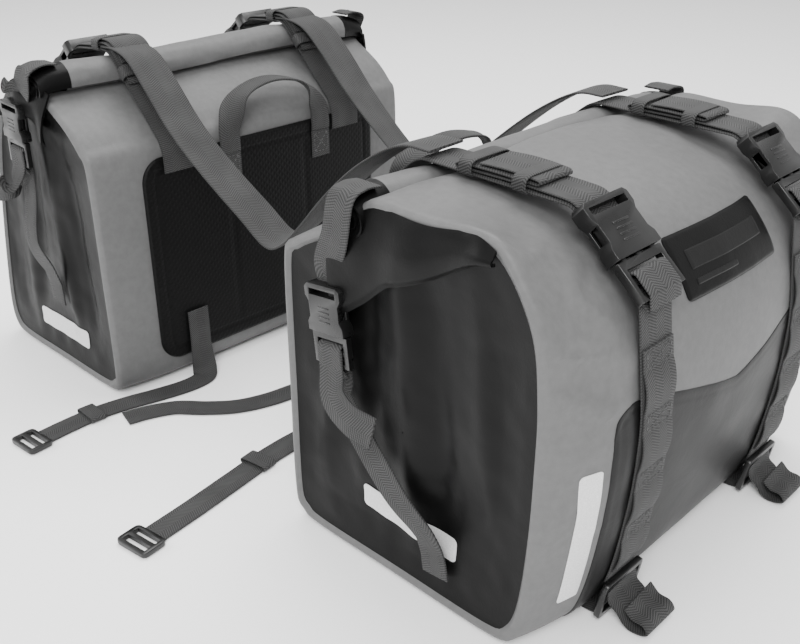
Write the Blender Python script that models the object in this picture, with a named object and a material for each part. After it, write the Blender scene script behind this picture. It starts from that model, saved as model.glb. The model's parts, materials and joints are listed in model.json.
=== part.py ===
"""A pair of roll-top saddlebags joined by two yoke straps.

X runs across the pair, Y along the bags, Z up. The origin is on the ground midway between the bags.
Each bag is drawn in its own section plane: u is the distance out from its inner face, z the height.
"""
import math

import bmesh
import bpy
import numpy as np
from mathutils import Matrix, Vector

# Driving dimensions, in metres
BAG_LENGTH = 0.400        # along Y
BAG_GAP = 0.260           # between the two inner faces
PAIR_SHIFT = -0.0148      # brings the origin to the middle of the pair's width
WALL = 0.0025             # laminated tarpaulin wall
OVERLAY = 0.0015          # welded cover sheets
BOARD = 0.0030            # stiffening board and back panel
CLEARANCE = 0.0003        # between pieces that touch
ROLL_RADIUS = 0.0175      # rolled mouth
ROLL_SHEET = 0.0030       # doubled mouth sheet
ROLL_TURNS = 1.6
ROLL_SHORT = 0.004        # each end of the roll, in from the rim
WEBBING = 0.0016          # webbing thickness
WIDE_WEBBING = 0.038      # compression and yoke straps
NARROW_WEBBING = 0.025    # end, handle and tie-down straps
STRAP_Y = 0.108           # compression straps, either side of the middle
GUSSET_INSET = 0.006      # end panel, in from the rim
GUSSET_THICK = 0.0025
PANEL_LENGTH = 0.300      # back panel and outer cover sheet
PANEL_LOW = 0.024
PANEL_HIGH = 0.238
PANEL_CORNER = 0.024
BOARD_LENGTH = 0.250      # stiffening board inside
COVER_LOW = 0.030
COVER_SIDE_HIGH = 0.205   # cover sheet's top at its corners
COVER_MIDDLE_HIGH = 0.166  # and at the point of its V
HANDLE_SPAN = 0.120
HANDLE_HIGH = 0.062
HANDLE_BASE = 0.226
HANDLE_FOOT = 0.010       # straight rise of a handle's legs above its hinge line
HANDLE_CROWN = 0.018      # rise of the handle's rounded top over its shoulders
HANDLE_Y = {"right": -0.012, "left": 0.012}
LADDER_LIP = 0.0008       # ladder-lock frame above its hinge line
STRAP_FOOT = 0.040        # height where a lower strap meets its ladder-lock
COVER_LIFT = 0.0012       # the cover sheet stands off the curved wrap by this
RIM_START = 0.66          # share of the half length where the section starts to close in
RIM_EASE = 1.6            # how gradually it does
RELEASE_TRAVEL = 0.026    # how far a buckle's tongue slides out
BUCKLE_GAP = 0.004        # strap end to the nearest edge of its buckle
END_STANDOFF = 0.0025     # end buckles, out from the rim
END_SAG = 0.006           # how far the slack end strap stands off the end
TAB_LEAD = 0.008          # straight lead of a roll tab into its buckle
NOTCH_RADIUS = 1.17 * ROLL_RADIUS
LADDER_GAP = 0.0036       # lower strap's end to the ladder-lock's hinge line

# The section of each bag, from the inner lip of the mouth round to the outer lip, as (u, z)
SECTIONS = {
    "right": {
        "middle": [(0.062, 0.272), (0.030, 0.262), (0.010, 0.252), (0.000, 0.240), (0.000, 0.130),
                   (0.000, 0.022), (0.007, 0.006), (0.024, 0.000), (0.120, 0.000), (0.222, 0.000),
                   (0.246, 0.010), (0.258, 0.040), (0.268, 0.100), (0.271, 0.160), (0.266, 0.210),
                   (0.250, 0.250), (0.214, 0.282), (0.150, 0.300), (0.098, 0.304)],
        "end": [(0.062, 0.272), (0.034, 0.262), (0.014, 0.250), (0.005, 0.236), (0.004, 0.130),
                (0.004, 0.026), (0.012, 0.009), (0.030, 0.003), (0.120, 0.003), (0.212, 0.003),
                (0.232, 0.012), (0.242, 0.040), (0.247, 0.100), (0.248, 0.160), (0.247, 0.210),
                (0.238, 0.262), (0.204, 0.306), (0.150, 0.302), (0.098, 0.304)],
    },
    "left": {
        "middle": [(0.062, 0.288), (0.030, 0.272), (0.010, 0.256), (0.000, 0.240), (0.000, 0.130),
                   (0.000, 0.022), (0.007, 0.006), (0.024, 0.000), (0.120, 0.000), (0.206, 0.000),
                   (0.228, 0.010), (0.234, 0.040), (0.228, 0.100), (0.217, 0.160), (0.205, 0.210),
                   (0.190, 0.248), (0.166, 0.280), (0.134, 0.302), (0.098, 0.318)],
        "end": [(0.062, 0.288), (0.034, 0.272), (0.014, 0.254), (0.005, 0.236), (0.004, 0.130),
                (0.004, 0.026), (0.012, 0.009), (0.030, 0.003), (0.120, 0.003), (0.200, 0.003),
                (0.222, 0.012), (0.226, 0.040), (0.216, 0.100), (0.203, 0.160), (0.191, 0.210),
                (0.177, 0.248), (0.156, 0.280), (0.128, 0.304), (0.098, 0.318)],
    },
}
ROLL_U = 0.080
ROLL_Z = {"right": 0.2895, "left": 0.3035}
# The line that each compression buckle lies on, as (u, z) at its strap end and at its free end
BUCKLE_LINE = {"right": ((0.204, 0.3025), (0.259, 0.2535)), "left": ((0.128, 0.3185), (0.186, 0.2715))}
END_BUCKLE = {"right": (0.066, 0.198), "left": (0.118, 0.249)}
END_ANCHOR = {"right": (0.160, 0.048), "left": (0.104, 0.096)}
SIDES = {"right": 1, "left": -1}
ENDS = {"front": -1, "rear": 1}
STATIONS = (-1.0, -0.985, -0.97, -0.93, -0.78, -0.5, -0.25, 0.0, 0.25, 0.5, 0.78, 0.93, 0.97, 0.985, 1.0)

COLOURS = {
    "grey_tarpaulin": (0.24, 0.24, 0.24, 0.55),
    "black_tarpaulin": (0.012, 0.012, 0.012, 0.5),
    "charcoal_tarpaulin": (0.05, 0.05, 0.05, 0.55),
    "black_sheet": (0.007, 0.007, 0.007, 0.6),
    "webbing": (0.10, 0.10, 0.10, 0.8),
    "buckle_plastic": (0.01, 0.01, 0.01, 0.35),
    "board_plastic": (0.03, 0.03, 0.03, 0.5),
}


def material(name):
    found = bpy.data.materials.get(name)
    if found:
        return found
    red, green, blue, roughness = COLOURS[name]
    made = bpy.data.materials.new(name)
    made.use_nodes = True
    shader = made.node_tree.nodes["Principled BSDF"]
    shader.inputs["Base Color"].default_value = (red, green, blue, 1)
    shader.inputs["Roughness"].default_value = roughness
    shader.inputs["Metallic"].default_value = 0.0
    return made


def add_object(name, mesh, finish, matrix=None):
    """A named object of one mesh, with its origin at its matrix."""
    made = bpy.data.objects.new(name, mesh)
    bpy.context.scene.collection.objects.link(made)
    mesh.materials.clear()
    mesh.materials.append(material(finish))
    if matrix is not None:
        made.matrix_world = matrix
    return made


def closed_mesh(name, shape):
    """A mesh from a finished bmesh, with its faces pointing out."""
    bmesh.ops.recalc_face_normals(shape, faces=shape.faces)
    mesh = bpy.data.meshes.new(name)
    shape.to_mesh(mesh)
    shape.free()
    return mesh


def loft(name, rings):
    """A closed body through rings of equal length, with filled ends."""
    shape = bmesh.new()
    loops = [[shape.verts.new(point) for point in ring] for ring in rings]
    count = len(rings[0])
    for one, two in zip(loops, loops[1:]):
        for k in range(count):
            shape.faces.new((one[k], one[(k + 1) % count], two[(k + 1) % count], two[k]))
    for ends in (loops[0], loops[-1]):
        shape.faces.new(ends)
    bmesh.ops.triangulate(shape, faces=[f for f in shape.faces if len(f.verts) > 4])
    return closed_mesh(name, shape)


def sheet_loft(name, rings):
    """A closed body through rings that each run up one side of a sheet and back down the other."""
    shape = bmesh.new()
    loops = [[shape.verts.new(point) for point in ring] for ring in rings]
    count = len(loops[0])
    for one, two in zip(loops, loops[1:]):
        for k in range(count):
            shape.faces.new((one[k], one[(k + 1) % count], two[(k + 1) % count], two[k]))
    for ends in (loops[0], loops[-1]):
        for k in range(count // 2 - 1):
            shape.faces.new((ends[k], ends[k + 1], ends[count - 2 - k], ends[count - 1 - k]))
    return closed_mesh(name, shape)


def offset(points, distance):
    """An open or closed run of 2-D points moved to its left by distance, with mitred corners."""
    run = [Vector(p) for p in points]
    moved = []
    for k, here in enumerate(run):
        before = run[k] - run[k - 1] if k else run[1] - run[0]
        after = run[k + 1] - here if k + 1 < len(run) else run[-1] - run[-2]
        one = Vector((-before.y, before.x)).normalized()
        two = Vector((-after.y, after.x)).normalized()
        along = one + two
        moved.append(tuple(here + along * (distance / (1 + one.dot(two)))))
    return moved


def blend(low, high, share):
    return [(a[0] + (b[0] - a[0]) * share, a[1] + (b[1] - a[1]) * share) for a, b in zip(low, high)]


def section(side, y):
    """The bag's outer section at y: the middle one, pulled in to the end one near the rims."""
    reach = abs(y) / (BAG_LENGTH / 2)
    share = max(0.0, (reach - RIM_START) / (1 - RIM_START))
    return blend(SECTIONS[side]["middle"], SECTIONS[side]["end"], share**RIM_EASE)


def place(side, u, y, z):
    """A point of a bag's section in the shared frame."""
    return (PAIR_SHIFT + SIDES[side] * (BAG_GAP / 2 + u), y, z)


def hull(points):
    """The convex outline of 2-D points, anticlockwise."""
    ordered = sorted(set(points))
    chains = []
    for run in (ordered, ordered[::-1]):
        chain = []
        for p in run:
            while len(chain) > 1:
                (ax, ay), (bx, by) = chain[-2], chain[-1]
                if (bx - ax) * (p[1] - ay) - (by - ay) * (p[0] - ax) > 0:
                    break
                chain.pop()
            chain.append(p)
        chains.append(chain[:-1])
    return chains[0] + chains[1]


def circle(centre, radius, count=16):
    turns = [2 * math.pi * k / count for k in range(count)]
    return [(centre[0] + radius * math.cos(t), centre[1] + radius * math.sin(t)) for t in turns]


def ribbon(name, path, across, width, thick, finish):
    """A strap of constant width and thickness along a path. across holds one direction, or one a point."""
    run = [Vector(p) for p in path]
    sides = [Vector(a).normalized() for a in across] if isinstance(across[0], (tuple, Vector)) else None
    rings = []
    for k, here in enumerate(run):
        before = (here - run[k - 1]).normalized() if k else (run[1] - run[0]).normalized()
        after = (run[k + 1] - here).normalized() if k + 1 < len(run) else before
        side = sides[k] if sides else Vector(across)
        one = before.cross(side).normalized()
        two = after.cross(side).normalized()
        normal = (one + two) * (thick / 2 / (1 + one.dot(two)))
        half = side * (width / 2)
        rings.append([here + half + normal, here - half + normal, here - half - normal, here + half - normal])
    return add_object(name, loft(name, rings), finish)


def plate(name, outline, thick, finish, matrix):
    """A flat plate: an outline in its own XY plane, from z = 0 up to thick."""
    rings = [[(x, y, z) for x, y in outline] for z in (0, thick)]
    return add_object(name, loft(name, rings), finish, matrix)


def rounded(width, height, radius, steps=5):
    """A rectangle with round corners, centred on the origin."""
    points = []
    for turn, (sx, sy) in enumerate(((1, 1), (-1, 1), (-1, -1), (1, -1))):
        for k in range(steps + 1):
            angle = math.pi / 2 * (turn + k / steps)
            x = sx * (width / 2 - radius) + radius * math.cos(angle)
            y = sy * (height / 2 - radius) + radius * math.sin(angle)
            points.append((x, y))
    return points


def cut_box(target, low, high):
    """Cuts a box out of an object, with an exact Boolean."""
    corners = [(low[0], low[1]), (high[0], low[1]), (high[0], high[1]), (low[0], high[1])]
    mesh = loft("cutter", [[(x, y, z) for x, y in corners] for z in (low[2], high[2])])
    cutter = bpy.data.objects.new("cutter", mesh)
    bpy.context.scene.collection.objects.link(cutter)
    modifier = target.modifiers.new("cut", "BOOLEAN")
    modifier.operation = "DIFFERENCE"
    modifier.solver = "EXACT"
    modifier.object = cutter
    return cutter


def finished_mesh(target, cutters):
    """The object's mesh with its cuts made. The object and its cutters are removed."""
    graph = bpy.context.evaluated_depsgraph_get()
    mesh = bpy.data.meshes.new_from_object(target.evaluated_get(graph))
    for used in (target, *cutters):
        bpy.data.objects.remove(used)
    return mesh


# Side-release buckle, in its own frame: X across, +Y from the housing to the tongue, Z outwards, Y = 0 at the mouth
def buckle_sizes(webbing):
    scale = 0.6 + 0.4 * webbing / WIDE_WEBBING
    return {
        "width": webbing + 0.011,
        "thick": 0.0120 * scale,
        "housing": 0.042 * scale,
        "wall": 0.0021,
        "prongs": 0.027 * scale,
        "ladder": 0.030 * scale,
        "slot": webbing + 0.002,
        "bar": 0.0042 * scale,
    }


def housing_mesh(webbing):
    s = buckle_sizes(webbing)
    half, long = s["width"] / 2, s["housing"]
    waist = half - 0.0030
    outline = [(-half, 0), (half, 0), (half, -0.18 * long), (waist, -0.30 * long), (waist, -0.62 * long),
               (half, -0.74 * long), (half, -long + 0.003), (half - 0.003, -long),
               (-half + 0.003, -long), (-half, -long + 0.003), (-half, -0.74 * long),
               (-waist, -0.62 * long), (-waist, -0.30 * long), (-half, -0.18 * long)]
    mesh = loft("housing", [[(x, y, z) for x, y in outline] for z in (0, s["thick"])])
    solid = add_object("housing", mesh, "buckle_plastic")
    inside = waist - 0.0022
    wall = s["wall"]
    cutters = [
        cut_box(solid, (-inside, -s["prongs"] - 0.001, wall), (inside, 0.01, s["thick"] - wall)),
        cut_box(solid, (-s["width"], -0.60 * long, wall + 0.0006),
                (s["width"], -0.32 * long, s["thick"] - wall - 0.0006)),
        cut_box(solid, (-s["slot"] / 2, -long + s["bar"], -0.01), (s["slot"] / 2, -long + 2.3 * s["bar"], 0.03)),
    ]
    return finished_mesh(solid, cutters)


def cell_plate(name, xs, ys, filled, low, high):
    """A flat plate made of the cells of a grid that are filled, from z = low up to high."""
    shape = bmesh.new()
    corners = {}

    def corner(i, j, top):
        if (i, j, top) not in corners:
            corners[i, j, top] = shape.verts.new((xs[i], ys[j], high if top else low))
        return corners[i, j, top]

    def solid(i, j):
        inside = 0 <= i < len(xs) - 1 and 0 <= j < len(ys) - 1
        return inside and filled((xs[i] + xs[i + 1]) / 2, (ys[j] + ys[j + 1]) / 2)

    for i in range(len(xs) - 1):
        for j in range(len(ys) - 1):
            if not solid(i, j):
                continue
            around = ((i, j), (i + 1, j), (i + 1, j + 1), (i, j + 1))
            for top in (False, True):
                shape.faces.new([corner(a, b, top) for a, b in around])
            beside = ((i, j - 1), (i + 1, j), (i, j + 1), (i - 1, j))
            for k, (a, b) in enumerate(beside):
                if not solid(a, b):
                    one, two = around[k], around[(k + 1) % 4]
                    shape.faces.new((corner(*one, False), corner(*two, False),
                                     corner(*two, True), corner(*one, True)))
    return closed_mesh(name, shape)


def tongue_mesh(webbing):
    """Two prongs, a middle guide and a ladder with two webbing slots."""
    s = buckle_sizes(webbing)
    half, long, tip = s["width"] / 2, s["ladder"], s["prongs"]
    reach = half - 0.0030 - 0.0022 - 0.0006
    inner, guide, slot = reach - 0.0048, 0.0025, s["slot"] / 2
    root, rows = 0.0010, (0.24 * long, 0.46 * long, 0.62 * long, 0.84 * long)
    xs = [-half, -slot, -reach, -inner, -guide, guide, inner, reach, slot, half]
    ys = [-tip, -0.8 * tip, root, *rows, long]

    def filled(x, y):
        if y < root:
            prong = inner < abs(x) < reach
            return prong or (abs(x) < guide and y > -0.8 * tip)
        in_slot = rows[0] < y < rows[1] or rows[2] < y < rows[3]
        return not (in_slot and abs(x) < slot)

    low, high = s["wall"] + 0.0006, s["thick"] - s["wall"] - 0.0006
    return cell_plate("tongue", xs, ys, filled, low, high)


def ladder_mesh(webbing):
    """A ladder-lock: a frame with two slots, its X across, its hinge edge at Y = 0, hanging to -Y."""
    width, long, thick = webbing + 0.010, 0.8 * webbing + 0.004, 0.0048
    outline = [(x, y - long / 2 + LADDER_LIP) for x, y in rounded(width, long, 0.004, 3)]
    mesh = loft("ladder", [[(x, y, z) for x, y in outline] for z in (0, thick)])
    solid = add_object("ladder", mesh, "buckle_plastic")
    slot = webbing / 2 + 0.001
    low = -long + LADDER_LIP
    cutters = [
        cut_box(solid, (-slot, low + 0.62 * long, -0.01), (slot, low + 0.84 * long, 0.02)),
        cut_box(solid, (-slot, low + 0.17 * long, -0.01), (slot, low + 0.42 * long, 0.02)),
    ]
    return finished_mesh(solid, cutters)


def frame_from(origin, x_axis, y_axis):
    """A placing whose X and Y run along the given directions."""
    x = Vector(x_axis).normalized()
    y = Vector(y_axis).normalized()
    z = x.cross(y)
    turn = Matrix((x, y, z)).transposed().to_4x4()
    return Matrix.Translation(Vector(origin)) @ turn


def shell(side):
    """The tarpaulin wrap, open at both ends and along the mouth."""
    rings = []
    for station in STATIONS:
        y = station * BAG_LENGTH / 2
        outer = section(side, y)
        inner = offset(outer, WALL)
        rings.append([place(side, u, y, z) for u, z in outer + inner[::-1]])
    add_object(side + "_shell", sheet_loft("shell", rings), "grey_tarpaulin")


def gusset(side, end):
    """An end panel, inside the wrap's rim, notched under the roll."""
    rings = []
    notch = []
    for turn in (-5, -50, -95, -140):
        angle = math.radians(turn)
        notch.append((ROLL_U + NOTCH_RADIUS * math.cos(angle), ROLL_Z[side] + NOTCH_RADIUS * math.sin(angle)))
    for depth in (GUSSET_INSET, GUSSET_INSET + GUSSET_THICK):
        y = ENDS[end] * (BAG_LENGTH / 2 - depth)
        near = [s * BAG_LENGTH / 2 for s in STATIONS]
        low = max(s for s in near if s <= y)
        high = min(s for s in near if s >= y)
        share = (y - low) / (high - low) if high > low else 0.0
        outline = blend(offset(section(side, low), WALL), offset(section(side, high), WALL), share)
        rings.append([place(side, u, y, z) for u, z in offset(outline, 3 * CLEARANCE) + notch])
    add_object(f"{side}_{end}_gusset", loft("gusset", rings), "black_tarpaulin")


def back_panel(side):
    outline = rounded(PANEL_LENGTH, PANEL_HIGH - PANEL_LOW, PANEL_CORNER)
    middle = (PANEL_HIGH + PANEL_LOW) / 2
    face = SIDES[side]
    at = frame_from(place(side, -CLEARANCE, 0, middle), (0, face, 0), (0, 0, 1))
    at = at if (at.to_3x3() @ Vector((0, 0, 1))).x * face < 0 else frame_from(at.translation, (0, -face, 0), (0, 0, 1))
    plate(side + "_back_panel", outline, BOARD, "black_sheet", at)
    inner = rounded(BOARD_LENGTH, PANEL_HIGH - PANEL_LOW - 0.02, PANEL_CORNER)
    at = at.copy()
    at.translation = place(side, WALL + 3 * CLEARANCE + BOARD, 0, middle)
    plate(side + "_back_board", inner, BOARD, "board_plastic", at)


def outer_run(side, y, top):
    """Points of the outer face at y, from the cover sheet's low edge up to top."""
    points = section(side, y)[9:17]
    corners = [p[1] for p in SECTIONS[side]["middle"][9:17] if COVER_LOW < p[1] < COVER_MIDDLE_HIGH]
    heights = [COVER_LOW] + corners + [top]
    return [(float(np.interp(h, [p[1] for p in points], [p[0] for p in points])), float(h)) for h in heights]


def outer_cover(side):
    """The cover sheet over the lower outer face, with a V in its top edge."""
    rings = []
    reaches = np.array([-1, -0.8, -0.5, -0.25, 0, 0.25, 0.5, 0.8, 1]) * PANEL_LENGTH / 2
    for y in reaches:
        share = abs(y) / (PANEL_LENGTH / 2)
        top = COVER_MIDDLE_HIGH + (COVER_SIDE_HIGH - COVER_MIDDLE_HIGH) * share
        run = outer_run(side, y, top)
        near, far = offset(run, -COVER_LIFT), offset(run, -COVER_LIFT - OVERLAY)
        rings.append([place(side, u, y, z) for u, z in near + far[::-1]])
    add_object(side + "_outer_cover", sheet_loft("cover", rings), "charcoal_tarpaulin")


def roll_top(side):
    """The mouth sheet: a lap over the outer lip, then rolled up towards the inner face."""
    zc = ROLL_Z[side]
    lip_u, lip_z = SECTIONS[side]["middle"][-1]
    next_u, next_z = SECTIONS[side]["middle"][-2]
    lift = WALL / 2 + CLEARANCE + ROLL_SHEET / 2
    start = ((lip_u + next_u) / 2, (lip_z + next_z) / 2 + lift)
    path = [start, (lip_u, lip_z + lift)]
    pitch = ROLL_SHEET + 2 * CLEARANCE
    steps = int(14 * ROLL_TURNS)
    for k in range(steps + 1):
        turned = 2 * math.pi * ROLL_TURNS * k / steps
        radius = ROLL_RADIUS - ROLL_SHEET / 2 - pitch * turned / (2 * math.pi)
        path.append((ROLL_U - radius * math.sin(turned), zc + radius * math.cos(turned)))
    near, far = offset(path, ROLL_SHEET / 2), offset(path, -ROLL_SHEET / 2)
    reach = BAG_LENGTH / 2 - ROLL_SHORT
    rings = [[place(side, u, y, z) for u, z in near + far[::-1]] for y in (-reach, reach)]
    add_object(side + "_roll_top", sheet_loft("roll", rings), "grey_tarpaulin")


def strap_line(side):
    """The convex line that a tight strap follows round the bag, from the back panel's top to the ground."""
    points = section(side, STRAP_Y) + circle((ROLL_U, ROLL_Z[side]), ROLL_RADIUS) + list(BUCKLE_LINE[side])
    lip_u, lip_z = SECTIONS[side]["middle"][-1]
    points.append((lip_u, lip_z + WALL / 2 + CLEARANCE + ROLL_SHEET))
    next_u, next_z = SECTIONS[side]["middle"][-2]
    points.append(((lip_u + next_u) / 2, (lip_z + next_z) / 2 + WALL / 2 + CLEARANCE + ROLL_SHEET))
    points.append((-BOARD - CLEARANCE, PANEL_HIGH))
    outline = hull([(round(u, 6), round(z, 6)) for u, z in points])[::-1]
    first = min(range(len(outline)), key=lambda k: abs(outline[k][0] + BOARD + CLEARANCE))
    outline = outline[first:] + outline[:first]
    return [p for p in outline if p[1] > 0.012 or p[0] > 0.2]


def compression_strap(side, end):
    """Upper strap, buckle, lower strap and ladder-lock, on the outside of the bag."""
    y = ENDS[end] * STRAP_Y
    name = f"{side}_{end}_"
    line = strap_line(side)
    start, stop = BUCKLE_LINE[side]
    lift = OVERLAY + COVER_LIFT + CLEARANCE + WEBBING / 2
    lifted = offset(line, lift)
    cut = min(range(len(line)), key=lambda k: math.dist(line[k], start))
    turn = min(range(len(line)), key=lambda k: math.dist(line[k], stop))
    one, two = Vector(lifted[cut]), Vector(lifted[turn])
    along = (two - one).normalized()
    sizes = buckle_sizes(WIDE_WEBBING)
    mouth = one + along * (sizes["housing"] + BUCKLE_GAP)
    out = Vector((-along.y, along.x))
    under = mouth - out * (WEBBING / 2)
    x_axis = (0, SIDES[side], 0)
    y_axis = (SIDES[side] * along.x, 0, along.y)
    at = frame_from(place(side, under.x, y, under.y), x_axis, y_axis)
    if (at.to_3x3() @ Vector((0, 0, 1))).z < 0:
        at = frame_from(at.translation, (0, -SIDES[side], 0), y_axis)
    add_object(name + "compression_housing", WIDE_HOUSING.copy(), "buckle_plastic", at)
    add_object(name + "compression_tongue", WIDE_TONGUE.copy(), "buckle_plastic", at)
    upper_end = one + along * (BUCKLE_GAP - CLEARANCE)
    flat = -BOARD - 2 * CLEARANCE - WEBBING / 2
    upper = [Vector((flat, PANEL_HIGH - 0.012)), Vector((flat, PANEL_HIGH + 0.002))]
    upper += [Vector(p) for p in lifted[1:cut]] + [one, upper_end]
    path = [place(side, p.x, y, p.y) for p in upper]
    ribbon(name + "compression_strap", path, (0, 1, 0), WIDE_WEBBING, WEBBING, "webbing")
    begin = mouth + along * BUCKLE_GAP
    lower = [begin, two] + [Vector(p) for p in lifted[turn + 1:] if p[1] > STRAP_FOOT + 0.01]
    last = lower[-1]
    after = next(Vector(p) for p in lifted[turn + 1:] if p[1] <= STRAP_FOOT + 0.01)
    share = (last.y - STRAP_FOOT) / (last.y - after.y)
    foot = last + (after - last) * share
    lower.append(foot)
    path = [place(side, p.x, y, p.y) for p in lower]
    ribbon(name + "daisy_strap", path, (0, 1, 0), WIDE_WEBBING, WEBBING, "webbing")
    down = (foot - last).normalized()
    seat = foot + down * LADDER_GAP
    hang = (SIDES[side] * -down.x, 0, -down.y)
    at = frame_from(place(side, seat.x, y, seat.y), (0, SIDES[side], 0), hang)
    if (at.to_3x3() @ Vector((0, 0, 1))).x * SIDES[side] < 0:
        at = frame_from(at.translation, (0, -SIDES[side], 0), hang)
    add_object(name + "ladder_lock", WIDE_LADDER.copy(), "buckle_plastic", at)


def end_closure(side, end):
    """Webbing tab, buckle and strap that pull a roll end down over the gusset."""
    face = ENDS[end]
    name = f"{side}_{end}_"
    plane = BAG_LENGTH / 2 + END_STANDOFF
    u, z = END_BUCKLE[side]
    top = ROLL_Z[side]
    sizes = buckle_sizes(NARROW_WEBBING)
    slope = Vector((END_ANCHOR[side][0] - ROLL_U, END_ANCHOR[side][1] - top)).normalized()
    slope = Vector((slope.x * 0.35, slope.y)).normalized()
    y_axis = Vector((SIDES[side] * slope.x, 0, slope.y))
    at = frame_from(place(side, u, face * plane, z), (slope.y, 0, -SIDES[side] * slope.x), y_axis)
    if (at.to_3x3() @ Vector((0, 0, 1))).y * face < 0:
        at = frame_from(at.translation, (-slope.y, 0, SIDES[side] * slope.x), y_axis)
    add_object(name + "end_housing", NARROW_HOUSING.copy(), "buckle_plastic", at)
    add_object(name + "end_tongue", NARROW_TONGUE.copy(), "buckle_plastic", at)
    tail = Vector((u, z)) - slope * (sizes["housing"] + 2 * CLEARANCE)
    lead = tail - slope * TAB_LEAD
    level = plane + WEBBING / 2
    path = [place(side, ROLL_U, face * (BAG_LENGTH / 2 - 0.003), top + 0.001),
            place(side, ROLL_U, face * (BAG_LENGTH / 2), top),
            place(side, ROLL_U + 0.15 * (lead.x - ROLL_U), face * level, top - 0.004),
            place(side, lead.x, face * level, lead.y),
            place(side, tail.x, face * level, tail.y)]
    level_across, square_across = (1, 0, 0), (-slope.y, 0, SIDES[side] * slope.x)
    across = [level_across] * 3 + [square_across] * 2
    ribbon(name + "end_tab", path, across, NARROW_WEBBING, WEBBING, "webbing")
    begin = Vector((u, z)) + slope * BUCKLE_GAP
    clear = Vector((u, z)) + slope * (sizes["ladder"] + RELEASE_TRAVEL + BUCKLE_GAP)
    foot = Vector(END_ANCHOR[side])
    middle = (clear + foot) / 2 + Vector((0.006, 0.004))
    low = BAG_LENGTH / 2 - GUSSET_INSET + CLEARANCE + WEBBING / 2
    path = [place(side, begin.x, face * level, begin.y), place(side, clear.x, face * level, clear.y),
            place(side, middle.x, face * (level + END_SAG), middle.y),
            place(side, foot.x - 0.004, face * (level - 0.001), foot.y + 0.018),
            place(side, foot.x, face * low, foot.y)]
    across = [square_across] * 3 + [level_across] * 2
    ribbon(name + "end_strap", path, across, NARROW_WEBBING, WEBBING, "webbing")


def carry_handle(side):
    """A webbing arch standing off the top of the back panel, with its origin on its hinge line."""
    half = HANDLE_SPAN / 2
    band = NARROW_WEBBING
    shoulder = HANDLE_HIGH - HANDLE_CROWN - HANDLE_FOOT
    run = [(-half, 0), (-half, HANDLE_FOOT)]
    for k in range(9):
        angle = math.pi * (1 - k / 8)
        run.append((0.82 * half * math.cos(angle), shoulder + HANDLE_CROWN * math.sin(angle)))
    run += [(half, HANDLE_FOOT), (half, 0)]
    outer = offset(run, band / 2)
    inner = offset(run, -band / 2)
    rings = [[(x, y, z) for x, y in outer + inner[::-1]] for z in (-WEBBING / 2, WEBBING / 2)]
    u = -BOARD - 3 * CLEARANCE - WEBBING / 2
    at = frame_from(place(side, u, HANDLE_Y[side], HANDLE_BASE), (0, 1, 0), (0, 0, 1))
    add_object(side + "_carry_handle", sheet_loft("handle", rings), "webbing", at)


def smooth(points, count):
    """A Catmull-Rom curve through points, as count + 1 points."""
    run = [Vector(p) for p in points]
    run = [2 * run[0] - run[1]] + run + [2 * run[-1] - run[-2]]
    made = []
    for k in range(count + 1):
        place_on = k / count * (len(run) - 3)
        base = min(int(place_on), len(run) - 4)
        t = place_on - base
        a, b, c, d = run[base:base + 4]
        made.append(0.5 * (2 * b + (c - a) * t + (2 * a - 5 * b + 4 * c - d) * t**2 + (3 * b - a - 3 * c + d) * t**3))
    return made


# Routes of the free straps, as points chosen by hand
YOKE_ROUTE = [(-0.214, 0.3285), (-0.192, 0.3290), (-0.168, 0.3225), (-0.140, 0.300), (-0.104, 0.267),
              (-0.062, 0.236), (-0.018, 0.207), (0.012, 0.188), (0.034, 0.194), (0.062, 0.219),
              (0.096, 0.252), (0.134, 0.284), (0.166, 0.305), (0.190, 0.3150), (0.214, 0.3158)]
LEFT_TIE_ROUTE = [(-0.1245, -0.106, 0.072), (-0.1240, -0.106, 0.050), (-0.1225, -0.107, 0.026),
                  (-0.116, -0.110, 0.0070), (-0.109, -0.118, 0.0016), (-0.108, -0.140, 0.0011),
                  (-0.114, -0.170, 0.0011), (-0.122, -0.200, 0.0011), (-0.127, -0.230, 0.0011),
                  (-0.127, -0.262, 0.0011), (-0.125, -0.290, 0.0011)]
LEFT_TAIL_ROUTE = [(-0.098, -0.218, 0.0011), (-0.092, -0.196, 0.0011), (-0.080, -0.172, 0.0011),
                   (-0.058, -0.152, 0.0011), (-0.038, -0.128, 0.0011), (-0.026, -0.098, 0.0011),
                   (-0.020, -0.064, 0.0011)]
RIGHT_TIE_ROUTE = [(0.1245, 0.030, 0.072), (0.1240, 0.030, 0.050), (0.1225, 0.029, 0.026),
                   (0.116, 0.026, 0.0070), (0.106, 0.020, 0.0016), (0.088, 0.002, 0.0011),
                   (0.070, -0.030, 0.0011), (0.056, -0.072, 0.0011), (0.050, -0.116, 0.0011),
                   (0.052, -0.160, 0.0011), (0.059, -0.205, 0.0011), (0.067, -0.255, 0.0011),
                   (0.073, -0.300, 0.0011)]


def yoke_strap(end):
    y = ENDS[end] * STRAP_Y
    path = smooth([(x + PAIR_SHIFT, y, z) for x, z in YOKE_ROUTE], 36)
    ribbon(end + "_yoke_strap", path, (0, 1, 0), WIDE_WEBBING, WEBBING, "webbing")


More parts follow.
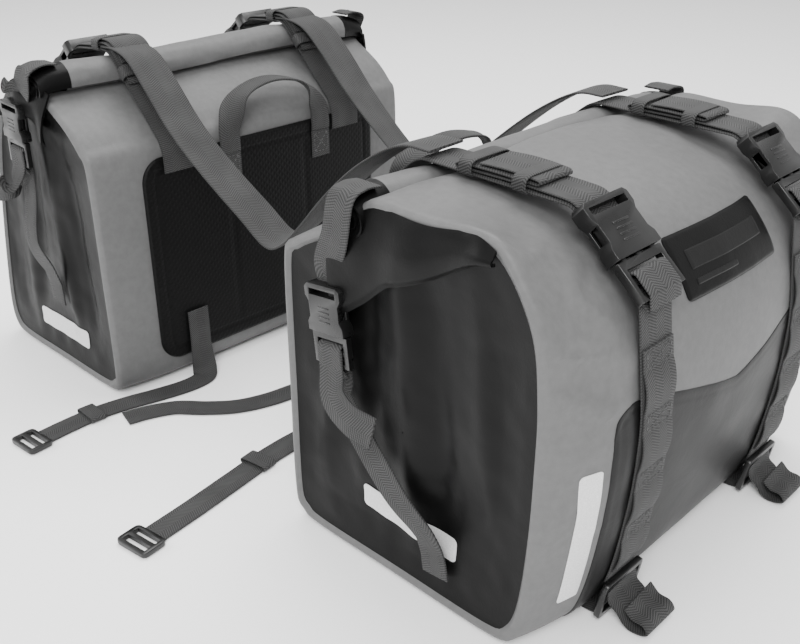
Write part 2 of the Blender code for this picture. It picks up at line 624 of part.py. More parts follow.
def floor_strap(name, route, count):
    """A strap that hangs down the back panel and then lies flat on the ground."""
    path = smooth([(x + PAIR_SHIFT, y, z) for x, y, z in route], count)
    across = []
    for k, here in enumerate(path):
        before, after = path[max(k - 1, 0)], path[min(k + 1, len(path) - 1)]
        flat = Vector((after.x - before.x, after.y - before.y, 0))
        share = min(1.0, max(0.0, (0.030 - here.z) / 0.026))
        level = Vector((-flat.y, flat.x, 0)).normalized() if flat.length > 1e-6 else Vector((0, 1, 0))
        if level.y < 0:
            level = -level
        if across and level.dot(across[-1]) < 0:
            level = -level
        across.append((Vector((0, 1, 0)) * (1 - share) + level * share).normalized())
    ribbon(name, path, across, NARROW_WEBBING, WEBBING, "webbing")
    return path


def tie_down(side, route, count):
    path = floor_strap(side + "_tie_down_strap", route, count)
    along = (path[-1] - path[-2]).normalized()
    at = path[-1] + along * (LADDER_LIP + CLEARANCE)
    across = Vector((0, 0, 1)).cross(along)
    turned = frame_from((at.x, at.y, 0.0003), -across, -along)
    if (turned.to_3x3() @ Vector((0, 0, 1))).z < 0:
        turned = frame_from((at.x, at.y, 0.0003), across, -along)
    add_object(side + "_tie_down_buckle", NARROW_LADDER.copy(), "buckle_plastic", turned)


for old in list(bpy.data.objects):
    bpy.data.objects.remove(old)

WIDE_HOUSING = housing_mesh(WIDE_WEBBING)
WIDE_TONGUE = tongue_mesh(WIDE_WEBBING)
WIDE_LADDER = ladder_mesh(WIDE_WEBBING)
NARROW_HOUSING = housing_mesh(NARROW_WEBBING)
NARROW_TONGUE = tongue_mesh(NARROW_WEBBING)
NARROW_LADDER = ladder_mesh(NARROW_WEBBING)
for side_name in SIDES:
    shell(side_name)
    back_panel(side_name)
    outer_cover(side_name)
    roll_top(side_name)
    carry_handle(side_name)
    for end_name in ENDS:
        gusset(side_name, end_name)
        compression_strap(side_name, end_name)
        end_closure(side_name, end_name)
for end_name in ENDS:
    yoke_strap(end_name)
tie_down("left", LEFT_TIE_ROUTE, 26)
tie_down("right", RIGHT_TIE_ROUTE, 30)
floor_strap("left_tie_down_tail", LEFT_TAIL_ROUTE, 16)
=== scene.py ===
import json
import math

import bmesh
import bpy
import numpy as np
from mathutils import Matrix, Vector, noise
from mathutils.bvhtree import BVHTree

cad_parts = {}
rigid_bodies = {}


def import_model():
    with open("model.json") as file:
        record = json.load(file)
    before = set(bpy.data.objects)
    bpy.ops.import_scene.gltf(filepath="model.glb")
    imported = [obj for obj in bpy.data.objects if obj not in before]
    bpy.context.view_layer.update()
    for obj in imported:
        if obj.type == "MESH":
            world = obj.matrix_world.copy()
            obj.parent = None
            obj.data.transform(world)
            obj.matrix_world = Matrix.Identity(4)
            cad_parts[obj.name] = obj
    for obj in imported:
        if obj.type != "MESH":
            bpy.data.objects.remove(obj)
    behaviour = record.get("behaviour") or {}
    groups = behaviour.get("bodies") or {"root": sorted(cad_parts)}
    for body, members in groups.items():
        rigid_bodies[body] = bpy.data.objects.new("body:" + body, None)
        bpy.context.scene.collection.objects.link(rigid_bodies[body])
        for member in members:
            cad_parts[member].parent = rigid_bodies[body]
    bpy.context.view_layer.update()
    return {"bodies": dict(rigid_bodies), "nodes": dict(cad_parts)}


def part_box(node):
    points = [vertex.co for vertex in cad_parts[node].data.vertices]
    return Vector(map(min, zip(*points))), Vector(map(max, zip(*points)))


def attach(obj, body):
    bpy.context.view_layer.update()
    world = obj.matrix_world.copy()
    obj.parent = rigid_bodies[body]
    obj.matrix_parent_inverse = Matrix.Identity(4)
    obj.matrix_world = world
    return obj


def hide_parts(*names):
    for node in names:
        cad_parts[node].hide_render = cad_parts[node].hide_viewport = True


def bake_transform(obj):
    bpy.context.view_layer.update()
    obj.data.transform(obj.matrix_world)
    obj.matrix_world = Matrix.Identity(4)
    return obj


# A pair of roll-top saddlebags in coated fabric, joined by two webbing yokes.
# u is the distance out from a bag's inner face, z the height, y runs along the bag.

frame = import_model()
bpy.ops.object.select_all(action="DESELECT")
print("frame loaded")

sideSign = {"right": 1, "left": -1}
endSign = {"front": -1, "rear": 1}
innerFace = {"right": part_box("right_shell")[0].x, "left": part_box("left_shell")[1].x}
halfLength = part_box("right_shell")[1].y
pairShift = (innerFace["right"] + innerFace["left"]) / 2


# sRGB hex to linear.
def linearColour(code):
    parts = [int(code[k:k + 2], 16) / 255 for k in (1, 3, 5)]
    return (*[p / 12.92 if p <= 0.04045 else ((p + 0.055) / 1.055) ** 2.4 for p in parts], 1.0)


# A node with its own settings, its socket values and what feeds it.
def addNode(tree, kind, settings=None, links=None):
    node = tree.nodes.new(kind)
    for name, value in (settings or {}).items():
        if isinstance(name, int) or name in node.inputs:
            node.inputs[name].default_value = value
        else:
            setattr(node, name, value)
    for name, source in (links or {}).items():
        tree.links.new(source, node.inputs[name])
    return node


def newMaterial(name):
    made = bpy.data.materials.new(name)
    made.use_nodes = True
    tree = made.node_tree
    shader = tree.nodes["Principled BSDF"]
    return made, tree, shader


coatedFabric = {
    "grainScale": 700.0,      # base cloth threads about 1.4 mm apart, drawn coarse enough to show
    "grainDepth": 0.00012,
    "softDepth": 0.0012,      # hand-sized unevenness of the laminate
    "roughness": 0.47,
    "rubbedBy": 0.07,         # how much smoother the rubbed places are
    "dustedBy": 0.09,
    "ior": 1.52,
    "shine": 0.18,            # dusted, so duller than clean film
}


# PVC-coated polyester, calendered: an even matt sheen, faint base cloth, rubbed lighter in places.
def coatedTarpaulin(name, dark, light, gloss=0.0):
    made, tree, shader = newMaterial(name)
    place = addNode(tree, "ShaderNodeTexCoord").outputs["Object"]
    broad = addNode(tree, "ShaderNodeTexNoise", {"Scale": 7.0, "Detail": 4.0, "Roughness": 0.55},
                    {"Vector": place})
    fine = addNode(tree, "ShaderNodeTexNoise", {"Scale": 160.0, "Detail": 3.0}, {"Vector": place})
    tone = addNode(tree, "ShaderNodeMixRGB", {"Color1": linearColour(dark), "Color2": linearColour(light)},
                   {"Fac": broad.outputs["Fac"]})
    speck = addNode(tree, "ShaderNodeMapRange",
                    {"From Min": 0.3, "From Max": 0.7, "To Min": 0.93, "To Max": 1.06},
                    {"Value": fine.outputs["Fac"]})
    toned = addNode(tree, "ShaderNodeVectorMath", {"operation": "SCALE"},
                    {0: tone.outputs["Color"], "Scale": speck.outputs["Result"]})
    tree.links.new(toned.outputs["Vector"], shader.inputs["Base Color"])
    matt = coatedFabric["roughness"] - gloss
    wear = {"From Min": 0.25, "From Max": 0.75, "To Min": matt - coatedFabric["rubbedBy"],
            "To Max": matt + coatedFabric["dustedBy"]}
    rough = addNode(tree, "ShaderNodeMapRange", wear, {"Value": broad.outputs["Fac"]})
    tree.links.new(rough.outputs["Result"], shader.inputs["Roughness"])
    shader.inputs["IOR"].default_value = coatedFabric["ior"]
    shader.inputs["Specular IOR Level"].default_value = coatedFabric["shine"] - gloss
    weave = addNode(tree, "ShaderNodeTexVoronoi", {"Scale": coatedFabric["grainScale"]}, {"Vector": place})
    folds = addNode(tree, "ShaderNodeTexNoise",
                    {"Scale": 26.0, "Detail": 5.0, "Roughness": 0.6, "Distortion": 0.4}, {"Vector": place})
    soft = addNode(tree, "ShaderNodeBump", {"Strength": 0.45, "Distance": coatedFabric["softDepth"]},
                   {"Height": folds.outputs["Fac"]})
    grain = addNode(tree, "ShaderNodeBump", {"Strength": 0.35, "Distance": coatedFabric["grainDepth"]},
                    {"Height": weave.outputs["Distance"], "Normal": soft.outputs["Normal"]})
    tree.links.new(grain.outputs["Normal"], shader.inputs["Normal"])
    return made


webbingWeave = {
    "rib": 0.0021,            # pitch of the cross ribs, drawn at twice the real pick so that they show
    "chevron": 0.0095,        # width of one herringbone band
    "warp": 0.0016,           # pitch of the threads that run along the strap
    "slant": 0.55,
    "edge": 0.0016,           # selvedge
    # painted shade: how dark the strap is drawn at its edges, as a share of its own colour
    "edgeShade": 0.62,
    "depth": 0.0005,
    "roughness": 0.72,
}


# Polypropylene webbing, narrow-loom woven: ribs across the strap that turn at each band, and a firm selvedge;
# the strap is drawn darker along its rounded edges as painted shade.
def wovenWebbing(name, dark, light, width):
    made, tree, shader = newMaterial(name)
    uv = addNode(tree, "ShaderNodeUVMap", {"uv_map": "strap"}).outputs["UV"]
    split = addNode(tree, "ShaderNodeSeparateXYZ", {}, {"Vector": uv})
    across, along = split.outputs["X"], split.outputs["Y"]
    band = addNode(tree, "ShaderNodeMath", {"operation": "PINGPONG", 1: webbingWeave["chevron"]}, {0: across})
    slanted = addNode(tree, "ShaderNodeMath", {"operation": "MULTIPLY_ADD", 1: webbingWeave["slant"]},
                      {0: band.outputs[0], 2: along})
    turns = addNode(tree, "ShaderNodeMath", {"operation": "MULTIPLY", 1: 2 * math.pi / webbingWeave["rib"]},
                    {0: slanted.outputs[0]})
    rib = addNode(tree, "ShaderNodeMath", {"operation": "SINE"}, {0: turns.outputs[0]})
    warpTurns = addNode(tree, "ShaderNodeMath",
                        {"operation": "MULTIPLY", 1: 2 * math.pi / webbingWeave["warp"]}, {0: across})
    warp = addNode(tree, "ShaderNodeMath", {"operation": "SINE"}, {0: warpTurns.outputs[0]})
    cloth = addNode(tree, "ShaderNodeMath", {"operation": "MULTIPLY_ADD", 1: 0.35},
                    {0: warp.outputs[0], 2: rib.outputs[0]})
    level = addNode(tree, "ShaderNodeMapRange",
                    {"From Min": -1.35, "From Max": 1.35, "To Min": 0.0, "To Max": 1.0},
                    {"Value": cloth.outputs[0]})
    place = addNode(tree, "ShaderNodeTexCoord").outputs["Object"]
    wear = addNode(tree, "ShaderNodeTexNoise", {"Scale": 34.0, "Detail": 4.0}, {"Vector": place})
    tone = addNode(tree, "ShaderNodeMixRGB", {"Color1": linearColour(dark), "Color2": linearColour(light)},
                   {"Fac": level.outputs["Result"]})
    fade = addNode(tree, "ShaderNodeMapRange",
                   {"From Min": 0.3, "From Max": 0.7, "To Min": 0.82,
                    "To Max": 1.14}, {"Value": wear.outputs["Fac"]})
    inside = addNode(tree, "ShaderNodeMath", {"operation": "SUBTRACT", 1: width / 2}, {0: across})
    off = addNode(tree, "ShaderNodeMath", {"operation": "ABSOLUTE"}, {0: inside.outputs[0]})
    # painted shade: the colour darkens towards each edge, where the rounded selvedge turns from the light
    selvedgeShade = {"From Min": width / 2 - webbingWeave["edge"], "From Max": width / 2,
                "To Min": 1.0, "To Max": webbingWeave["edgeShade"]}
    rim = addNode(tree, "ShaderNodeMapRange", selvedgeShade, {"Value": off.outputs[0]})
    both = addNode(tree, "ShaderNodeMath", {"operation": "MULTIPLY"},
                   {0: fade.outputs["Result"], 1: rim.outputs["Result"]})
    toned = addNode(tree, "ShaderNodeVectorMath", {"operation": "SCALE"},
                    {0: tone.outputs["Color"], "Scale": both.outputs[0]})
    tree.links.new(toned.outputs["Vector"], shader.inputs["Base Color"])
    bump = addNode(tree, "ShaderNodeBump", {"Strength": 0.8, "Distance": webbingWeave["depth"]},
                   {"Height": level.outputs["Result"]})
    tree.links.new(bump.outputs["Normal"], shader.inputs["Normal"])
    shader.inputs["Roughness"].default_value = webbingWeave["roughness"]
    shader.inputs["IOR"].default_value = 1.49
    shader.inputs["Specular IOR Level"].default_value = 0.25
    shader.inputs["Sheen Weight"].default_value = 0.04
    shader.inputs["Sheen Roughness"].default_value = 0.5
    return made


acetalFinish = {"worn": "#121212", "smooth": 0.26, "rough": 0.44, "grainDepth": 0.0001, "ior": 1.48}


# Acetal, injection moulded: near black, satin, with fine spark-eroded grain.
def mouldedAcetal(name, code):
    made, tree, shader = newMaterial(name)
    place = addNode(tree, "ShaderNodeTexCoord").outputs["Object"]
    grain = addNode(tree, "ShaderNodeTexNoise", {"Scale": 1500.0, "Detail": 2.0}, {"Vector": place})
    rubbed = addNode(tree, "ShaderNodeTexNoise", {"Scale": 60.0, "Detail": 5.0}, {"Vector": place})
    rough = addNode(tree, "ShaderNodeMapRange",
                    {"From Min": 0.35, "From Max": 0.7, "To Min": acetalFinish["smooth"],
                     "To Max": acetalFinish["rough"]}, {"Value": rubbed.outputs["Fac"]})
    tone = addNode(tree, "ShaderNodeMixRGB",
                   {"Color1": linearColour(code),
                    "Color2": linearColour(acetalFinish["worn"])}, {"Fac": rubbed.outputs["Fac"]})
    tree.links.new(tone.outputs["Color"], shader.inputs["Base Color"])
    tree.links.new(rough.outputs["Result"], shader.inputs["Roughness"])
    bump = addNode(tree, "ShaderNodeBump", {"Strength": 0.2, "Distance": acetalFinish["grainDepth"]},
                   {"Height": grain.outputs["Fac"]})
    tree.links.new(bump.outputs["Normal"], shader.inputs["Normal"])
    shader.inputs["IOR"].default_value = acetalFinish["ior"]
    return made


gripEmboss = {"pitch": 0.005, "depth": 0.0004, "worn": "#060606", "roughness": 0.6, "shine": 0.15}


# Anti-slip PVC sheet, embossed: matt black with a close diamond pattern.
def embossedSheet(name, code):
    made, tree, shader = newMaterial(name)
    place = addNode(tree, "ShaderNodeTexCoord").outputs["Object"]
    turned = addNode(tree, "ShaderNodeMapping", {"Rotation": (math.pi / 4, 0, 0)}, {"Vector": place})
    split = addNode(tree, "ShaderNodeSeparateXYZ", {}, {"Vector": turned.outputs["Vector"]})
    waves = []
    for axis in ("Y", "Z"):
        turns = addNode(tree, "ShaderNodeMath",
                        {"operation": "MULTIPLY",
                         1: 2 * math.pi / gripEmboss["pitch"]}, {0: split.outputs[axis]})
        waves.append(addNode(tree, "ShaderNodeMath", {"operation": "SINE"}, {0: turns.outputs[0]}))
    both = addNode(tree, "ShaderNodeMath", {"operation": "MAXIMUM"},
                   {0: waves[0].outputs[0], 1: waves[1].outputs[0]})
    broad = addNode(tree, "ShaderNodeTexNoise", {"Scale": 9.0, "Detail": 4.0}, {"Vector": place})
    tone = addNode(tree, "ShaderNodeMixRGB",
                   {"Color1": linearColour(code),
                    "Color2": linearColour(gripEmboss["worn"])}, {"Fac": broad.outputs["Fac"]})
    tree.links.new(tone.outputs["Color"], shader.inputs["Base Color"])
    bump = addNode(tree, "ShaderNodeBump", {"Strength": 0.35, "Distance": gripEmboss["depth"]},
                   {"Height": both.outputs[0]})
    tree.links.new(bump.outputs["Normal"], shader.inputs["Normal"])
    shader.inputs["Roughness"].default_value = gripEmboss["roughness"]
    shader.inputs["Specular IOR Level"].default_value = gripEmboss["shine"]
    return made


beadTape = {"dark": "#c4c4c4", "light": "#dedede", "beads": 900.0, "depth": 0.0002}


# Glass-bead reflective tape, heat bonded: pale silver grey, evenly speckled.
def reflectiveTape(name):
    made, tree, shader = newMaterial(name)
    place = addNode(tree, "ShaderNodeTexCoord").outputs["Object"]
    beads = addNode(tree, "ShaderNodeTexVoronoi", {"Scale": beadTape["beads"]}, {"Vector": place})
    tone = addNode(tree, "ShaderNodeMixRGB",
                   {"Color1": linearColour(beadTape["dark"]),
                    "Color2": linearColour(beadTape["light"])}, {"Fac": beads.outputs["Distance"]})
    tree.links.new(tone.outputs["Color"], shader.inputs["Base Color"])
    bump = addNode(tree, "ShaderNodeBump", {"Strength": 0.25, "Distance": beadTape["depth"]},
                   {"Height": beads.outputs["Distance"]})
    tree.links.new(bump.outputs["Normal"], shader.inputs["Normal"])
    shader.inputs["Roughness"].default_value = 0.38
    shader.inputs["Metallic"].default_value = 0.15
    return made


# Bonded nylon thread, twisted: a slight shine on each stitch.
def sewingThread(name, code):
    made, tree, shader = newMaterial(name)
    place = addNode(tree, "ShaderNodeTexCoord").outputs["Object"]
    twist = addNode(tree, "ShaderNodeTexNoise", {"Scale": 900.0}, {"Vector": place})
    tone = addNode(tree, "ShaderNodeMixRGB",
                   {"Color1": linearColour(code),
                    "Color2": linearColour("#505050")}, {"Fac": twist.outputs["Fac"]})
    tree.links.new(tone.outputs["Color"], shader.inputs["Base Color"])
    shader.inputs["Roughness"].default_value = 0.45
    return made


greyCloth = coatedTarpaulin("greyCoatedPolyester", "#575757", "#646464")
blackCloth = coatedTarpaulin("blackCoatedPolyester", "#050505", "#0a0a0a", 0.06)
charcoalCloth = coatedTarpaulin("charcoalCoatedPolyester", "#121212", "#191919", 0.03)
patchRubber = coatedTarpaulin("patchSoftPvc", "#080808", "#0d0d0d", 0.05)
wideWebbing = wovenWebbing("wideWovenWebbing", "#191919", "#444444", 0.038)
narrowWebbing = wovenWebbing("narrowWovenWebbing", "#191919", "#434343", 0.025)
blackPlastic = mouldedAcetal("blackMouldedAcetal", "#090909")
gripSheet = embossedSheet("embossedGripSheet", "#030303")
silverTape = reflectiveTape("reflectiveBeadTape")
greyThread = sewingThread("greyNylonThread", "#2c2c2c")
print("materials made")


# A piece from rows of points. rows is an array (row, point, xyz).
def gridPiece(name, rows, material, closeAcross=False, capEnds=False, uv=None):
    rows = np.asarray(rows, float)
    count, across = rows.shape[:2]
    span = across if closeAcross else across - 1
    faces = []
    for i in range(count - 1):
        for j in range(span):
            k = (j + 1) % across
            faces.append((i * across + j, i * across + k, (i + 1) * across + k, (i + 1) * across + j))
    if capEnds:
        faces.append(tuple(range(across))[::-1])
        faces.append(tuple((count - 1) * across + j for j in range(across)))
    mesh = bpy.data.meshes.new(name)
    mesh.from_pydata(rows.reshape(-1, 3).tolist(), [], faces)
    if uv is not None:
        uv = np.asarray(uv, float).reshape(-1, 2)
        layer = mesh.uv_layers.new(name="strap")
        index = np.zeros(len(mesh.loops), int)
        mesh.loops.foreach_get("vertex_index", index)
        layer.data.foreach_set("uv", uv[index].ravel())
    mesh.update()
    piece = bpy.data.objects.new(name, mesh)
    bpy.context.scene.collection.objects.link(piece)
    mesh.materials.append(material)
    return piece


def applyModifiers(piece):
    bpy.ops.object.select_all(action="DESELECT")
    bpy.context.view_layer.objects.active = piece
    piece.select_set(True)
    for modifier in list(piece.modifiers):
        bpy.ops.object.modifier_apply(modifier=modifier.name)
    piece.select_set(False)


# Recalculates the normals so that the faces point out.
def pointOut(piece):
    work = bmesh.new()
    work.from_mesh(piece.data)
    bmesh.ops.remove_doubles(work, verts=work.verts, dist=1e-6)
    bmesh.ops.recalc_face_normals(work, faces=work.faces)
    work.to_mesh(piece.data)
    work.free()


# Turns an open sheet so that it faces along a direction.
def faceTowards(piece, direction):
    pointOut(piece)
    if sum(f.normal.dot(direction) for f in piece.data.polygons) < 0:
        piece.data.flip_normals()


def smoothShade(piece, angle=50):
    bpy.ops.object.select_all(action="DESELECT")
    bpy.context.view_layer.objects.active = piece
    piece.select_set(True)
    bpy.ops.object.shade_smooth_by_angle(angle=math.radians(angle))
    piece.select_set(False)


def thicken(piece, thickness):
    modifier = piece.modifiers.new("wall", "SOLIDIFY")
    modifier.thickness = thickness
    modifier.offset = -1.0
    modifier.use_even_offset = False
    applyModifiers(piece)


# A Catmull-Rom curve between b and c, its neighbours being a and d.
def throughMiddle(a, b, c, d, t):
    return 0.5 * (2 * b + (c - a) * t + (2 * a - 5 * b + 4 * c - d) * t**2 + (3 * b - a - 3 * c + d) * t**3)


# count points on a smooth curve through the given ones, evenly spread along it.
def curveThrough(points, count):
    run = np.asarray(points, float)
    run = np.vstack([2 * run[0] - run[1], run, 2 * run[-1] - run[-2]])
    made = []
    for k in range(len(run) - 3):
        made.append(throughMiddle(*run[k:k + 4], np.linspace(0, 1, 14, endpoint=False)[:, None]))
    made.append(run[-2][None])
    return evenly(np.vstack(made), count)


def evenly(points, count):
    points = np.asarray(points, float)
    steps = np.r_[0, np.cumsum(np.linalg.norm(np.diff(points, axis=0), axis=1))]
    at = np.linspace(0, steps[-1], count)
    return np.stack([np.interp(at, steps, points[:, k]) for k in range(points.shape[1])], axis=1)


# The convex outline of 2-D points, clockwise from above.
def hullOf(points):
    ordered = sorted(set(map(tuple, np.round(points, 6).tolist())))
    chains = []
    for run in (ordered, ordered[::-1]):
        chain = []
        for p in run:
            while len(chain) > 1:
                (ax, ay), (bx, by) = chain[-2], chain[-1]
                if (bx - ax) * (p[1] - ay) - (by - ay) * (p[0] - ax) > 0:
                    break
                chain.pop()
            chain.append(p)
        chains.append(chain[:-1])
    return (chains[0] + chains[1])[::-1]


# Unit normals to the left of a 2-D run.
def leftOf(points):
    along = np.gradient(np.asarray(points, float), axis=0)
    out = np.stack([-along[:, 1], along[:, 0]], axis=1)
    return out / np.maximum(np.linalg.norm(out, axis=1, keepdims=True), 1e-9)


# Smooth noise for many points, as lengths.
def ripple(points, scale, depth, seed=0.0):
    return np.array([noise.noise(Vector((x * scale + seed, y * scale, z * scale))) for x, y,
                     z in points]) * depth


# Each bag's section as (out, up) points round from the neck: at its middle and at its ends.
bagShape = {
    "right": {
        "middle": [(0.074, 0.280), (0.062, 0.274), (0.030, 0.263), (0.010, 0.252), (0.000, 0.238),
                   (0.000, 0.130),
                   (0.000, 0.024), (0.007, 0.007), (0.024, 0.0004), (0.120, 0.0004), (0.222, 0.0006),
                   (0.246, 0.010), (0.258, 0.040), (0.268, 0.100), (0.271, 0.160), (0.266, 0.210),
                   (0.250, 0.250), (0.214, 0.282), (0.150, 0.300), (0.104, 0.304), (0.088, 0.297)],
        "end": [(0.074, 0.280), (0.062, 0.274), (0.034, 0.262), (0.014, 0.250), (0.005, 0.236),
                (0.004, 0.130),
                (0.004, 0.026), (0.012, 0.009), (0.030, 0.003), (0.120, 0.003), (0.212, 0.003),
                (0.232, 0.012), (0.242, 0.040), (0.247, 0.100), (0.248, 0.160), (0.247, 0.210),
                (0.238, 0.262), (0.204, 0.306), (0.150, 0.303), (0.104, 0.304), (0.088, 0.297)],
        "rollZ": 0.2895,
    },
    "left": {
        "middle": [(0.075, 0.298), (0.063, 0.290), (0.030, 0.273), (0.010, 0.256), (0.000, 0.238),
                   (0.000, 0.130),
                   (0.000, 0.024), (0.007, 0.007), (0.024, 0.0004), (0.120, 0.0004), (0.206, 0.0006),
                   (0.228, 0.010), (0.234, 0.040), (0.228, 0.100), (0.217, 0.160), (0.205, 0.210),
                   (0.190, 0.248), (0.166, 0.280), (0.134, 0.302), (0.104, 0.315), (0.090, 0.308)],
        "end": [(0.075, 0.298), (0.063, 0.290), (0.034, 0.273), (0.014, 0.254), (0.005, 0.236),
                (0.004, 0.130),
                (0.004, 0.026), (0.012, 0.009), (0.030, 0.003), (0.120, 0.003), (0.200, 0.003),
                (0.222, 0.012), (0.226, 0.040), (0.216, 0.100), (0.203, 0.160), (0.191, 0.210),
                (0.177, 0.248), (0.156, 0.280), (0.128, 0.304), (0.104, 0.315), (0.090, 0.308)],
        "rollZ": 0.3065,
    },
}
bagMake = {
    "rollU": 0.080,
    "rollRadius": 0.0185,
    "wall": 0.0020,
    "cornerRadius": 0.005,    # where the wrap turns in at each end
    "flange": 0.003,          # welded band round the end panel
    "strapY": 0.108,
    "sectionPoints": 200,
    "endFrom": 0.66,          # share of the half length where the section starts to change
    "endEase": 1.6,
}


# A smooth run through the points, spread by its own parameter, not by length.
def denseRun(points, count):
    run = np.asarray(points, float)
    run = np.vstack([2 * run[0] - run[1], run, 2 * run[-1] - run[-2]])
    at = np.linspace(0, len(points) - 1 - 1e-9, count)
    base = at.astype(int)
    t = (at - base)[:, None]
    return throughMiddle(run[base], run[base + 1], run[base + 2], run[base + 3], t)


# The run with its corners eased, its ends kept.
def softened(run, passes):
    run = run.copy()
    for _ in range(passes):
        run[1:-1] = 0.25 * run[:-2] + 0.5 * run[1:-1] + 0.25 * run[2:]
    return run


sections = {}
for sideName, shape in bagShape.items():
    middle = softened(denseRun(shape["middle"], 700), 60)
    end = softened(denseRun(shape["end"], 700), 60)
    steps = np.r_[0, np.cumsum(np.linalg.norm(np.diff(middle, axis=0), axis=1))]
    at = np.linspace(0, steps[-1], bagMake["sectionPoints"])
    sections[sideName] = [np.stack([np.interp(at, steps, run[:, k]) for k in (0, 1)],
                                   axis=1) for run in (middle, end)]


def sectionAt(side, y):
    reach = abs(y) / halfLength
    share = max(0.0, (reach - bagMake["endFrom"]) / (1 - bagMake["endFrom"])) ** bagMake["endEase"]
    middle, end = sections[side]
    return middle + (end - middle) * share


fabricLay = {
    "bulge": {"right": 0.0045, "left": 0.0015},    # fuller between the straps
    "bulgeHalf": 0.096,
    "drawnIn": 0.0016,                             # under each strap
    "strapReach": 0.024,
    "broadRipple": 0.0016,
    "fineRipple": 0.0007,
    "creaseY": 0.165,
    "creaseReach": 0.032,
    "creaseHeight": 0.0054,
    "creaseSink": 0.0020,
    "shoulderAt": {"right": 0.80, "left": 0.84},   # share of the way round the section
    "shoulderReach": 0.085,
    "dragHeight": 0.0009,
    "dragOffset": 0.030,
    "dragReach": 0.022,
}


# A bump of height 1 round zero, that fades over reach.
def bell(distance, reach):
    return np.exp(-((distance / reach) ** 2))


# How far the filled fabric stands out from its section: full between the straps, drawn in under them,
# creased at the ends.
def relief(side, run, y):
    lay = fabricLay
    fromStrap = abs(y) - bagMake["strapY"]
    s = np.linspace(0, 1, len(run))
    u, z = run[:, 0], run[:, 1]
    upper = np.clip((z - 0.05) / 0.1, 0, 1) * np.clip((u - 0.02) / 0.05, 0, 1)
    between = math.cos(min(abs(y) / lay["bulgeHalf"], 1) * math.pi / 2) ** 1.2
    lift = upper * (lay["bulge"][side] * between - lay["drawnIn"] * bell(fromStrap, lay["strapReach"]))
    x = u * sideSign[side] + (3 if side == "left" else 0)
    places = np.stack([x, np.full(len(run), y), z], axis=1)
    lift += ripple(places, 9.0, lay["broadRipple"], 1.7) * upper
    lift += ripple(places, 30.0, lay["fineRipple"], 4.1) * np.clip(upper + 0.25, 0, 1)
    endZone = bell(abs(y) - lay["creaseY"], lay["creaseReach"])
    shoulder = bell(s - lay["shoulderAt"][side], lay["shoulderReach"])
    slanted = places @ np.array([[1, 0.5, 0.3], [0.6, 1, 0.5], [-0.4, 0.3, 1]])
    ridges = 1 - np.abs(ripple(slanted * np.array([1, 0.45, 1]), 26.0, 1.0, 9.3)) * 2.4
    lift += np.clip(ridges, 0, 1) ** 2 * lay["creaseHeight"] * endZone * shoulder
    lift -= lay["creaseSink"] * endZone * shoulder
    # shallow drag lines that run from each strap towards the roll
    drag = np.sin(s * 95 + abs(y) * 120 + 2.0 * ripple(places, 14.0, 1.0, 5.5))
    lift += lay["dragHeight"] * drag * bell(fromStrap - lay["dragOffset"],
                                            lay["dragReach"]) * bell(s - 0.86, 0.09)
    return lift


# Places along the bag as (y, how far the section is pulled in, how far it is into the turned end).
def bagRows():
    corner, flange = bagMake["cornerRadius"], bagMake["flange"]
    straight = halfLength - corner
    half = [(y, 0.0, 0.0) for y in np.linspace(0, straight, 34)]
    for k in range(1, 8):
        angle = math.pi / 2 * k / 7
        half.append((straight + corner * math.sin(angle), corner * (1 - math.cos(angle)), k / 7))
    for k in range(1, 5):
        half.append((halfLength - 0.0006 * k, corner + flange * k / 4, 1.0))
    half.append((halfLength - 0.0050, corner + flange + 0.0006, 1.0))
    return [(-y, pull, turn) for y, pull, turn in half[:0:-1]] + half


# The section drawn in towards its middle by pull on every side.
def pulledIn(run, pull):
    low, high = run.min(0), run.max(0)
    centre, size = (low + high) / 2, high - low
    return centre + (run - centre) * (1 - 2 * pull / size)


def intoFrame(side, run, y):
    run = np.asarray(run, float)
    x = innerFace[side] + sideSign[side] * run[:, 0]
    return np.stack([x, np.broadcast_to(y, (len(run),)), run[:, 1]], axis=1)


def bagShell(side):
    rows = []
    for y, pull, turn in bagRows():
        run = sectionAt(side, y)
        run = run + leftOf(run) * (-relief(side, run, y) * (1 - turn))[:, None]
        run = pulledIn(run, pull)
        run[:, 1] = np.maximum(run[:, 1], 0.0005)
        rows.append(intoFrame(side, run, y))
    shell = gridPiece(side + "BagShell", rows, greyCloth)
    pointOut(shell)
    facing = sum(f.normal.z for f in shell.data.polygons if f.center.z < 0.002)
    if facing > 0:
        shell.data.flip_normals()
    thicken(shell, bagMake["wall"])
    smoothShade(shell, 60)
    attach(shell, side + "_bag")
    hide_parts(side + "_shell")


surfaceRows = {}          # the surface at even steps along the bag, kept once it has been worked out
surfaceStep = 0.002


def surfaceRow(side, step):
    if (side, step) not in surfaceRows:
        y = step * surfaceStep
        run = sectionAt(side, y)
        surfaceRows[side, step] = run - leftOf(run) * relief(side, run, y)[:, None]
    return surfaceRows[side, step]


# The bag's own surface at y, raised by lift.
def surfaceRun(side, y, lift):
    step = math.floor(y / surfaceStep)
    share = y / surfaceStep - step
    run = surfaceRow(side, step) * (1 - share) + surfaceRow(side, step + 1) * share
    return run - leftOf(run) * lift


gussetFolds = {
    # place across at the top and at the bottom, width, depth, top and bottom of the fold
    "right": [(0.122, 0.136, 0.013, 0.0046, 0.27, 0.06), (0.096, 0.092, 0.011, -0.0034, 0.25, 0.10),
              (0.150, 0.165, 0.014, -0.0045, 0.26, 0.08), (0.185, 0.205, 0.012, 0.0030, 0.27, 0.10),
              (0.060, 0.040, 0.010, 0.0030, 0.22, 0.07)],
    "left": [(0.092, 0.080, 0.012, 0.0040, 0.26, 0.06), (0.122, 0.144, 0.011, -0.0034, 0.25, 0.08),
             (0.060, 0.046, 0.010, -0.0035, 0.24, 0.06), (0.150, 0.170, 0.012, 0.0030, 0.22, 0.05)],
}


